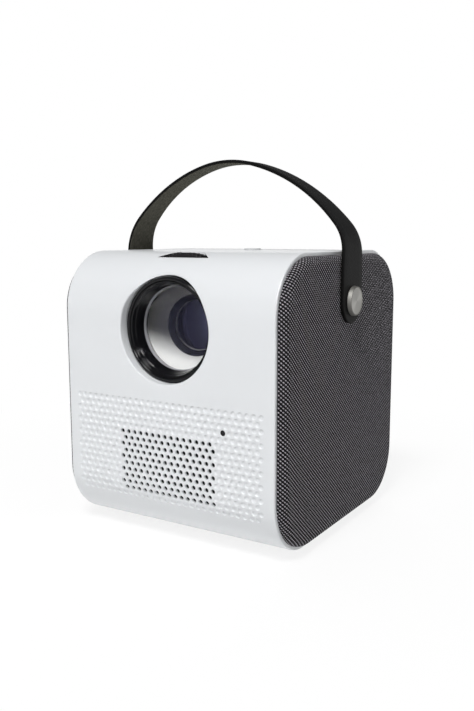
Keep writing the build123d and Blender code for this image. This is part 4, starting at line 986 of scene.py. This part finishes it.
def slot_finishes(sizes, colours):
    """The finish of each material slot that a CAD node can carry, and of the front glass."""
    finishes = {slot: metal(*values) for slot, *values in METALS}
    for slot, name, shade, *values in MOULDINGS:
        shade = getattr(colours, shade) if isinstance(shade, str) else shade
        finishes[slot] = moulding(name, shade, *values)
    return finishes | {
        "white_shell": shell_white(colours, sizes),
        "fabric_charcoal": side_weave(colours, sizes),
        "strap_leather": strap_leather(colours),
        "stud_metal": stud_spun(colours, sizes),
        "barrel_black": lens_black("barrel_gloss_black", colours, sizes, 0.11),
        "wheel_black": lens_black("wheel_satin_black", colours, sizes, 0.5),
        "ir_tint": lens_black("infra_red_window", colours, sizes, 0.3),
        "optical_glass": lens_glass("coated_glass", colours, 1.5),
        "front_glass": lens_glass("coated_front_glass", colours, 1.34),
        "fresnel_clear": lens_groove_glass(colours, sizes),
        "baffle_aluminium": baffle_finish(colours, sizes),
        "lamp_white": lamp_finish(),
        "board_green": board_finish("board_solder_mask", (0.012, 0.10, 0.045)),
        "cloth_black": cloth_finish(),
    }


class PieceOperator(bpy.types.Operator):
    """Base of the operators that make pieces from the sizes."""

    bl_options = {"REGISTER", "UNDO"}

    def execute(self, context):
        self.make(context.scene.projector_sizes)
        return {"FINISHED"}


class PROJECTOR_OT_finishes(bpy.types.Operator):
    """Gives every CAD node the finish of its material slot."""

    bl_idname = "projector.finishes"
    bl_label = "Finishes"
    bl_options = {"REGISTER", "UNDO"}

    def execute(self, context):
        FINISH.update(slot_finishes(context.scene.projector_sizes, context.scene.projector_colours))
        for name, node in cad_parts.items():
            node.data.materials[0] = FINISH[NODE_SLOT[name]]
        return {"FINISHED"}


class PROJECTOR_OT_shell(PieceOperator):
    """White sleeve with the lens opening, dimples, speaker holes, wheel slot and rear opening."""

    bl_idname = "projector.shell"
    bl_label = "White shell"

    def make(self, sizes):
        shell_skin(sizes).piece("shell", "housing", "main_shell", 40.0)


class PROJECTOR_OT_side_fabric(PieceOperator):
    """Woven fabric stretched over each side panel and round its edge."""

    bl_idname = "projector.side_fabric"
    bl_label = "Side fabric"

    def make(self, sizes):
        outline = Outline(sizes)
        end, inset, ease = mm(sizes.shell_width) / 2, mm(sizes.panel_inset), mm(sizes.panel_round)
        face_x = end + mm(sizes.panel_proud)
        turn = np.linspace(0.0, math.pi / 2, 11)
        rim_x = face_x - ease + ease * np.sin(turn)
        rim_depth = inset + ease - ease * np.cos(turn)
        step = np.hypot(np.diff(rim_x), np.diff(rim_depth))
        spare = np.append(np.cumsum(step[::-1])[::-1], 0.0)
        stations = outline.stations[:-1]
        face_edge = outline.lay(0.0, stations, inset + ease)[:, 1:]
        rims = spare[:, None, None] * outline.normal(stations)[None] + face_edge[None]
        hole = circle(0.0, mm(sizes.stud_height), FABRIC_HOLE, 40)
        flat, triangles = fill(face_edge[::-1], [hole], grid((-70, 70), (5, 150), 5.0))
        for side, word in SIDES:
            rim = zip(rim_x, rim_depth)
            skin = Skin().rings([outline.lay(side * x, stations, depth) for x, depth in rim],
                                np.dstack([rims, np.zeros(rims.shape[:2])]))
            skin.block(np.column_stack([np.full(len(flat), side * face_x), flat]), triangles,
                       np.column_stack([flat, np.zeros(len(flat))]))
            piece = skin.piece("fabric_" + word, "housing", "side_fabric_" + word)


class PROJECTOR_OT_strap(PieceOperator):
    """Leather strap bent into an arch, with rounded ends and stud holes."""

    bl_idname = "projector.strap"
    bl_label = "Carrying strap"

    def make(self, sizes):
        path = StrapPath(sizes)
        half, thick = mm(sizes.strap_width) / 2, mm(sizes.strap_thickness)
        ease = [(-0.75, 0.0), (-0.35, 0.07), (-0.1, 0.25), (0.0, 0.55)]
        rows = ease + [(off, thick - depth) for off, depth in ease[::-1]]
        hole_rows = [(0.25, 0.0), (0.0, 0.2), (0.0, thick - 0.2), (0.25, thick)]
        cuts = [(lambda off, place=place: circle(place, 0.0, STRAP_HOLE + off, 32), hole_rows)
                for place in path.ends]
        along, across = np.linspace(*path.ends, path.STEPS), [-7.0, -3.5, 0.0, 3.5, 7.0]
        infill = np.stack(np.meshgrid(along, across, indexing="ij"), -1).reshape(-1, 2)
        slab = pierced_slab(lambda off: path.edge(half, off), rows, cuts, infill, thick, path.lay)
        slab.piece("strap", "handle", "handle_strap", 50.0)


class PROJECTOR_OT_studs(PieceOperator):
    """Spun metal studs that the strap turns on."""

    bl_idname = "projector.studs"
    bl_label = "Strap studs"

    def make(self, sizes):
        radius, face = mm(sizes.stud_radius), mm(sizes.stud_face)
        profile = eased([(0.0, 57.2), (1.7, 57.2), (2.0, 57.6), (2.0, 69.4), (3.5, 69.4),
                         (3.5, 72.7), (radius, 72.7, 0.2), (radius, 73.1, 0.3),
                         (radius - 0.4, face - 0.15, 0.15), (radius - 0.55, face, 0.1),
                         (radius - 0.85, face, 0.1), (radius - 1.05, face - 0.2, 0.1),
                         (0.0, face - 0.2)], 0.12, 5)
        for side, word in SIDES:
            rings = turned(profile * (1, side), (0.0, mm(sizes.stud_height)), "X", 96)
            Skin().rings(rings).piece("stud_" + word, "housing", "strap_stud_" + word)


class PROJECTOR_OT_lens(PieceOperator):
    """Gloss black barrel, its retainer and the pale satin cone behind the front glass."""

    bl_idname = "projector.lens"
    bl_label = "Lens"

    def make(self, sizes):
        centre = (0.0, mm(sizes.lens_height))
        barrel = eased([(25.3, -64.0), (25.3, -68.2, 0.3), (25.9, -68.7, 0.5), (26.7, -68.7, 0.7),
                        (27.4, -67.6, 0.7), (27.4, -62.0), (25.0, -62.0), (25.0, -24.0),
                        (21.0, -24.0), (21.0, -49.5), (23.05, -49.5), (23.05, -57.5),
                        (24.0, -57.5), (24.0, -64.0), (25.3, -64.0)], 0.15)
        retainer = eased([(24.0, -64.1), (25.2, -64.1), (25.2, -67.5, 0.2), (24.9, -67.9, 0.2),
                          (24.3, -67.6, 0.3), (23.8, -65.4, 0.1), (23.55, -65.2, 0.15),
                          (22.3, -59.6, 0.2), (22.0, -59.0, 0.15), (22.0, -57.95), (23.9, -57.95),
                          (23.9, -64.1), (24.0, -64.1)], 0.12)
        baffle = eased([(23.0, -53.0), (23.0, -49.5), (20.95, -49.5), (20.95, -41.0),
                        (12.0, -41.0), (12.0, -41.6), (15.4, -44.0, 0.15), (22.6, -53.0, 0.1),
                        (23.0, -53.0)], 0.12)
        for name, profile, node in (("lens_barrel_ring", barrel, "lens_barrel"),
                                    ("lens_cone", retainer, "lens_retainer"),
                                    ("lens_baffle_cone", baffle, "lens_baffle")):
            Skin().rings(turned(profile, centre, "Y", 144)).piece(name, "lens", node, 25.0)


def lens_profile(radius, front, back, curve_front, curve_back):
    """Half section of a lens: each face is an arc whose sag at radius r is R less the root of R
    squared less r squared, out from its edge plane for a positive R and in for a negative one, or
    flat where none is given."""
    bevel = 0.25
    r = np.linspace(0.0, radius - bevel, 25)

    def sag(curve):
        """Height of a face above its edge plane."""
        if curve is None:
            return np.zeros_like(r)
        size = abs(curve)
        return np.sign(curve) * (np.sqrt(size ** 2 - r ** 2) - math.sqrt(size ** 2 - radius ** 2))

    return np.concatenate([np.column_stack([r, front - sag(curve_front)]),
                           [[radius, front + bevel], [radius, back - bevel]],
                           np.column_stack([r, back + sag(curve_back)])[::-1]])


class PROJECTOR_OT_glass(PieceOperator):
    """Turned glass lenses with ground edges."""

    bl_idname = "projector.glass"
    bl_label = "Glass lenses"

    def make(self, sizes):
        for name, node, finish, front, back, curve_front, curve_back in LENSES:
            low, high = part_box(node)
            profile = lens_profile(mm(high.x - low.x) / 2, front, back, curve_front, curve_back)
            skin = Skin().rings(turned(profile, (0.0, mm(sizes.lens_height)), "Y", 128))
            skin.piece(name, "lens", node, 25.0, finish)


class PROJECTOR_OT_focus_wheel(PieceOperator):
    """Ridged focus wheel with its web and sleeve."""

    bl_idname = "projector.focus_wheel"
    bl_label = "Focus wheel"

    def make(self, sizes):
        count, size = sizes.wheel_ridges, 0.7
        base = mm(sizes.wheel_radius) - size
        pitch = 2 * math.pi * base / count
        half = np.array([0.25, 0.5, 0.66, 0.72, 0.95])
        place = np.concatenate([[-0.5 * pitch], -half[::-1], [0.0], half])
        ridge = np.tile(np.sqrt(np.clip(size ** 2 - place ** 2, 0.0, None)), count)
        turn = ((np.arange(count)[:, None] + place[None] / pitch) * 2 * math.pi / count).ravel()
        # Radius, place along the axis and share of the ridges
        profile = np.array([(35.5, -53.6, 0), (35.9, -54.0, 0), (base - 0.9, -54.0, 0),
                            (base - 0.35, -53.85, 0.25), (base, -53.3, 0.9), (base, -52.8, 1),
                            (base, -47.2, 1), (base, -46.7, 0.9), (base - 0.35, -46.15, 0.25),
                            (base - 0.9, -46.0, 0), (35.9, -46.0, 0), (35.5, -46.4, 0),
                            (35.5, -48.0, 0), (30.0, -48.0, 0), (30.0, -34.0, 0), (27.66, -34.0, 0),
                            (27.66, -54.0, 0), (30.0, -54.0, 0), (30.0, -52.0, 0), (35.5, -52.0, 0),
                            (35.5, -53.6, 0)])
        radius = profile[:, 0:1] + profile[:, 2:3] * ridge[None]
        rings = np.stack([radius * np.cos(turn), np.repeat(profile[:, 1:2], len(turn), 1),
                          mm(sizes.lens_height) + radius * np.sin(turn)], -1)
        Skin().rings(rings).piece("focus_wheel", "focus", "focus_ring", 35.0)


class PROJECTOR_OT_rear_panel(PieceOperator):
    """Rear panel with fan vents, air inlets, socket openings and sunk screw seats."""

    bl_idname = "projector.rear_panel"
    bl_label = "Rear panel"

    def make(self, sizes):
        wide, tall, mid = mm(sizes.rear_width), mm(sizes.rear_height), sum(SCREW_Z) / 2
        back, pitch, reach, vent_z = mm(sizes.shell_depth) / 2, 4.6, 22.2, 95.0
        soft = [(0.3, 0.0), (0.08, 0.05), (0.0, 0.25), (0.0, PANEL_THICK)]
        seat = [(3.05, 0.0), (2.85, 0.06), (2.8, 0.2), (2.8, 1.2), (1.6, 1.2), (1.6, PANEL_THICK)]
        row, step = np.meshgrid(np.arange(-6, 7), np.arange(-6, 7), indexing="ij")
        vents = np.stack([(step + 0.5 * (row % 2)) * pitch, row * pitch * math.sqrt(3) / 2], -1)
        vents = vents[(vents ** 2).sum(-1) < reach ** 2] + (0.0, vent_z)
        # Holes: middle, radius, points and rows. Slots: middle, width, height, corner and points
        holes = [(at, 1.7, 14, soft) for at in vents]
        slots = [((x, z), 16.0, 2.4, 1.2, 5)
                 for x in (-42.0, 42.0) for z in 74.0 + 6.0 * np.arange(8)]
        seats = [((x, z), 0.0, 28, seat) for x in SCREW_X for z in SCREW_Z]
        sockets = [((-34.0, 49.6), 4.7, 40, soft), ((-16.0, 47.6), 3.5, 32, soft)]
        ports = [((4.0, 47.1), 14.0, 6.6, 0.8, 4), ((28.0, 46.9), 15.8, 6.2, 0.8, 4)]

        def rounds(items):
            """Round cuts of the plate."""
            return [(lambda off, at=at, r=r, n=n: circle(*at, r + off, n), rows)
                    for at, r, n, rows in items]

        def boxes(items):
            """Cuts of the plate with straight sides."""
            return [(lambda off, at=at, box=box: grown_box(*at, *box, off), soft)
                    for at, *box in items]

        cuts = rounds(holes) + boxes(slots) + rounds(seats + sockets) + boxes(ports)
        edge_rows = [(-0.35, 0.0), (-0.1, 0.05), (0.0, 0.25), (0.0, PANEL_THICK)]
        slab = pierced_slab(lambda off: grown_box(0.0, mid, wide, tall, PANEL_CORNER, 8, off),
                            edge_rows, cuts, grid((-57, 57), (36, 120), 6.0), PANEL_THICK,
                            lambda x, z, depth: np.stack([x, back - depth, z], -1))
        slab.piece("rear_cover", "housing", "rear_panel", 40.0)


class PROJECTOR_OT_rear_screws(PieceOperator):
    """Rear panel screws with cross recesses."""

    bl_idname = "projector.rear_screws"
    bl_label = "Rear screws"

    def make(self, sizes):
        crown, seat, shank_end, tip, reach = 72.6, 71.6, 65.5, 64.6, 2.7
        half = np.concatenate([[0.16, 0.2, 0.4, 0.6], np.linspace(0.64, 1, 4)])
        line = np.concatenate([-half[::-1], [0.0], half])
        u, v = np.meshgrid(line, line, indexing="ij")
        disc_u, disc_v = u * np.sqrt(1 - v ** 2 / 2), v * np.sqrt(1 - u ** 2 / 2)
        cross = (np.minimum(abs(u), abs(v)) < 0.17) & (np.maximum(abs(u), abs(v)) < 0.62)
        dome = crown - 0.28 * np.hypot(disc_u, disc_v) ** 4 - 0.75 * cross
        head = np.stack([reach * disc_u, dome, reach * disc_v], -1)
        rim = np.concatenate([head[:-1, 0], head[-1, :-1], head[:0:-1, -1], head[0, :0:-1]])
        # Share of the head's radius and place along the axis
        below = [rim * (share, 0, share) + (0, place, 0)
                 for share, place in ((1, seat), (0.5, seat), (0.5, shank_end), (0, tip))]
        skin = Skin()
        for x in SCREW_X:
            for z in SCREW_Z:
                skin.rings(head + (x, 0, z), wrap=False)
                skin.rings(np.stack([rim, *below]) + (x, 0, z))
        skin.piece("rear_screw_heads", "housing", "rear_panel_screws", 28.0)


class PROJECTOR_OT_power_key(PieceOperator):
    """Round power key with a shallow finger dish."""

    bl_idname = "projector.power_key"
    bl_label = "Power key"

    def make(self, sizes):
        base, top = (mm(corner.z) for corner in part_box("power_button"))
        dish_radius, dish_depth = 4.3, 0.35
        dish = np.linspace(dish_radius, 0.0, 9)
        profile = np.concatenate([
            eased([(0.0, base), (1.6, base), (1.6, base + 0.2), (6.4, base + 0.2),
                   (6.4, base + 1.2), (5.0, base + 1.2), (5.0, top - 0.05, 0.5), (4.4, top, 0.2),
                   (4.31, top)], 0.12),
            np.column_stack([dish, top - dish_depth * (1 - (dish / dish_radius) ** 2)])])
        rings = turned(profile, (0.0, KEY_Y), "Z", 72)
        Skin().rings(rings).piece("power_key_cap", "power_key", "power_button")


class PROJECTOR_OT_feet(PieceOperator):
    """Round rubber feet with a turned groove."""

    bl_idname = "projector.feet"
    bl_label = "Feet"

    def make(self, sizes):
        top = mm(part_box("rubber_feet")[1].z)
        profile = eased([(0.0, 0.25), (3.4, 0.25), (3.7, 0.0), (5.3, 0.0), (6.0, 0.6), (6.0, top),
                         (0.0, top)], 0.2)
        skin = Skin()
        for x in FOOT_X:
            for y in FOOT_Y:
                skin.rings(turned(profile, (x, y), "Z", 48))
        skin.piece("feet", "housing", "rubber_feet")


class PROJECTOR_OT_grille_cloth(PieceOperator):
    """Thin black cloth stretched flat behind the speaker holes."""

    bl_idname = "projector.grille_cloth"
    bl_label = "Grille cloth"

    def make(self, sizes):
        low, high = (mm(np.array(corner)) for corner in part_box("grille_cloth"))
        across, along = np.linspace(low[0], high[0], 33), np.linspace(low[2], high[2], 19)
        u, v = np.meshgrid(across, along, indexing="ij")
        sag = 0.06 * np.sin(u * 0.9) * np.sin(v * 0.8)
        sheet = np.stack([u, (low[1] + high[1]) / 2 + sag, v], -1)
        skin = Skin().rings(sheet, np.stack([u, v, 0 * u], -1), wrap=False)
        piece = skin.piece("speaker_cloth_sheet", "housing", "grille_cloth")


class PROJECTOR_OT_stage(bpy.types.Operator):
    """Camera, lamps, pale floor and white surroundings."""

    bl_idname = "projector.stage"
    bl_label = "Stage"
    bl_options = {"REGISTER", "UNDO"}

    def execute(self, context):
        stage, scene = context.scene.projector_stage, context.scene
        back = Vector((math.sin(stage.azimuth) * math.cos(stage.elevation),
                       -math.cos(stage.azimuth) * math.cos(stage.elevation),
                       math.sin(stage.elevation)))
        camera = bpy.data.objects.new("camera", bpy.data.cameras.new("camera"))
        camera.data.lens, camera.data.sensor_width = stage.focal, SENSOR
        turn = (-back).to_track_quat("-Z", "Y").to_matrix() @ Matrix.Rotation(stage.roll, 3, "Z")
        camera.matrix_world = Matrix.Translation(stage.camera_place) @ turn.to_4x4()
        scene.collection.objects.link(camera)
        scene.camera = camera
        for name, place, size, setting, lights, glints in LAMPS:
            lamp = bpy.data.objects.new(name, bpy.data.lights.new(name, "AREA"))
            lamp.data.shape, lamp.data.energy = "RECTANGLE", getattr(stage, setting)
            lamp.data.size, lamp.data.size_y = size
            aim = (LAMP_AIM - Vector(place)).to_track_quat("-Z", "Y").to_matrix()
            lamp.matrix_world = Matrix.Translation(place) @ aim.to_4x4()
            lamp.visible_diffuse, lamp.visible_glossy = lights, glints
            scene.collection.objects.link(lamp)
        self.floor(scene)
        self.surroundings(scene, stage.ambient)
        scene.view_settings.view_transform = "Standard"
        return {"FINISHED"}

    def floor(self, scene):
        """Flat pale floor that takes the shadow near the object and fades to plain white further
        out."""
        mesh = bpy.data.meshes.new("floor")
        corners = np.array([(-1, -1, 0), (1, -1, 0), (1, 1, 0), (-1, 1, 0)]) * FLOOR_HALF
        mesh.from_pydata(corners.tolist(), [], [(0, 1, 2, 3)])
        floor = bpy.data.objects.new("floor", mesh)
        scene.collection.objects.link(floor)
        paint = Paint("floor_white", {"Roughness": 0.9, "Specular IOR Level": 0.0})
        x, y, _ = paint.at.axes()
        far = ((x * x + y * y) ** 0.5).rise(*FLOOR_FADE)
        paint.set({"Base Color": paint.vary(paint.noise(8.0) * 0.05, WHITE[:3], 0.97, 0.93)})
        seen = paint.ray("Is Camera Ray") + paint.ray("Is Glossy Ray")
        clean = (0.85 + 0.15 * far) * (seen + paint.ray("Is Transmission Ray")).at_most(1.0)
        white = paint.node("ShaderNodeEmission", {"Color": WHITE, "Strength": 1.0})
        shader = Value(paint, paint.shader.outputs[0])
        blend = paint.node("ShaderNodeMixShader", {0: clean, 1: shader, 2: white})
        paint.feed(paint.tree.nodes["Material Output"].inputs["Surface"], blend)
        mesh.materials.append(paint.material)

    def surroundings(self, scene, ambient):
        """White where the camera, a reflection or glass looks past the floor, and a soft even light
        elsewhere."""
        scene.world = bpy.data.worlds.new("studio")
        scene.world.use_nodes = True
        graph = Graph(scene.world.node_tree)
        _, _, up = graph.node("ShaderNodeTexCoord", output="Generated").axes()
        low = (graph.ray("Is Glossy Ray") + graph.ray("Is Transmission Ray")) * up.rise(*HORIZON)
        white = (low + graph.ray("Is Camera Ray")).at_most(1.0)
        shade = graph.tree.nodes["Background"]
        graph.feed(shade.inputs["Color"], WHITE)
        graph.feed(shade.inputs["Strength"], ambient + (1.0 - ambient) * white)


PIECES = (PROJECTOR_OT_finishes, PROJECTOR_OT_shell, PROJECTOR_OT_side_fabric, PROJECTOR_OT_strap,
          PROJECTOR_OT_studs, PROJECTOR_OT_lens, PROJECTOR_OT_glass, PROJECTOR_OT_focus_wheel,
          PROJECTOR_OT_rear_panel, PROJECTOR_OT_rear_screws, PROJECTOR_OT_power_key,
          PROJECTOR_OT_feet, PROJECTOR_OT_grille_cloth, PROJECTOR_OT_stage)
GROUPS = {"projector_sizes": ProjectorSizes, "projector_colours": ProjectorColours,
          "projector_stage": ProjectorStage}


class PROJECTOR_PT_pieces(bpy.types.Panel):
    """Sidebar panel with the piece operators, sizes, colours and stage."""

    bl_idname = "PROJECTOR_PT_pieces"
    bl_label = "Home projector"
    bl_space_type = "VIEW_3D"
    bl_region_type = "UI"
    bl_category = "Projector"

    def draw(self, context):
        for piece in PIECES:
            self.layout.operator(piece.bl_idname)
        for name, group in GROUPS.items():
            box = self.layout.box()
            for field in group.__annotations__:
                box.prop(getattr(context.scene, name), field)


def register():
    """Registers the settings, the operators and the panel."""
    for name, group in GROUPS.items():
        bpy.utils.register_class(group)
        setattr(bpy.types.Scene, name, PointerProperty(type=group))
    for item in (*PIECES, PROJECTOR_PT_pieces):
        bpy.utils.register_class(item)


def unregister():
    """Removes what register added."""
    for item in (PROJECTOR_PT_pieces, *reversed(PIECES)):
        bpy.utils.unregister_class(item)
    for name, group in GROUPS.items():
        delattr(bpy.types.Scene, name)
        bpy.utils.unregister_class(group)


def main():
    register()
    for piece in PIECES:
        area, name = piece.bl_idname.split(".")
        getattr(getattr(bpy.ops, area), name)()


if __name__ == "__main__":
    main()
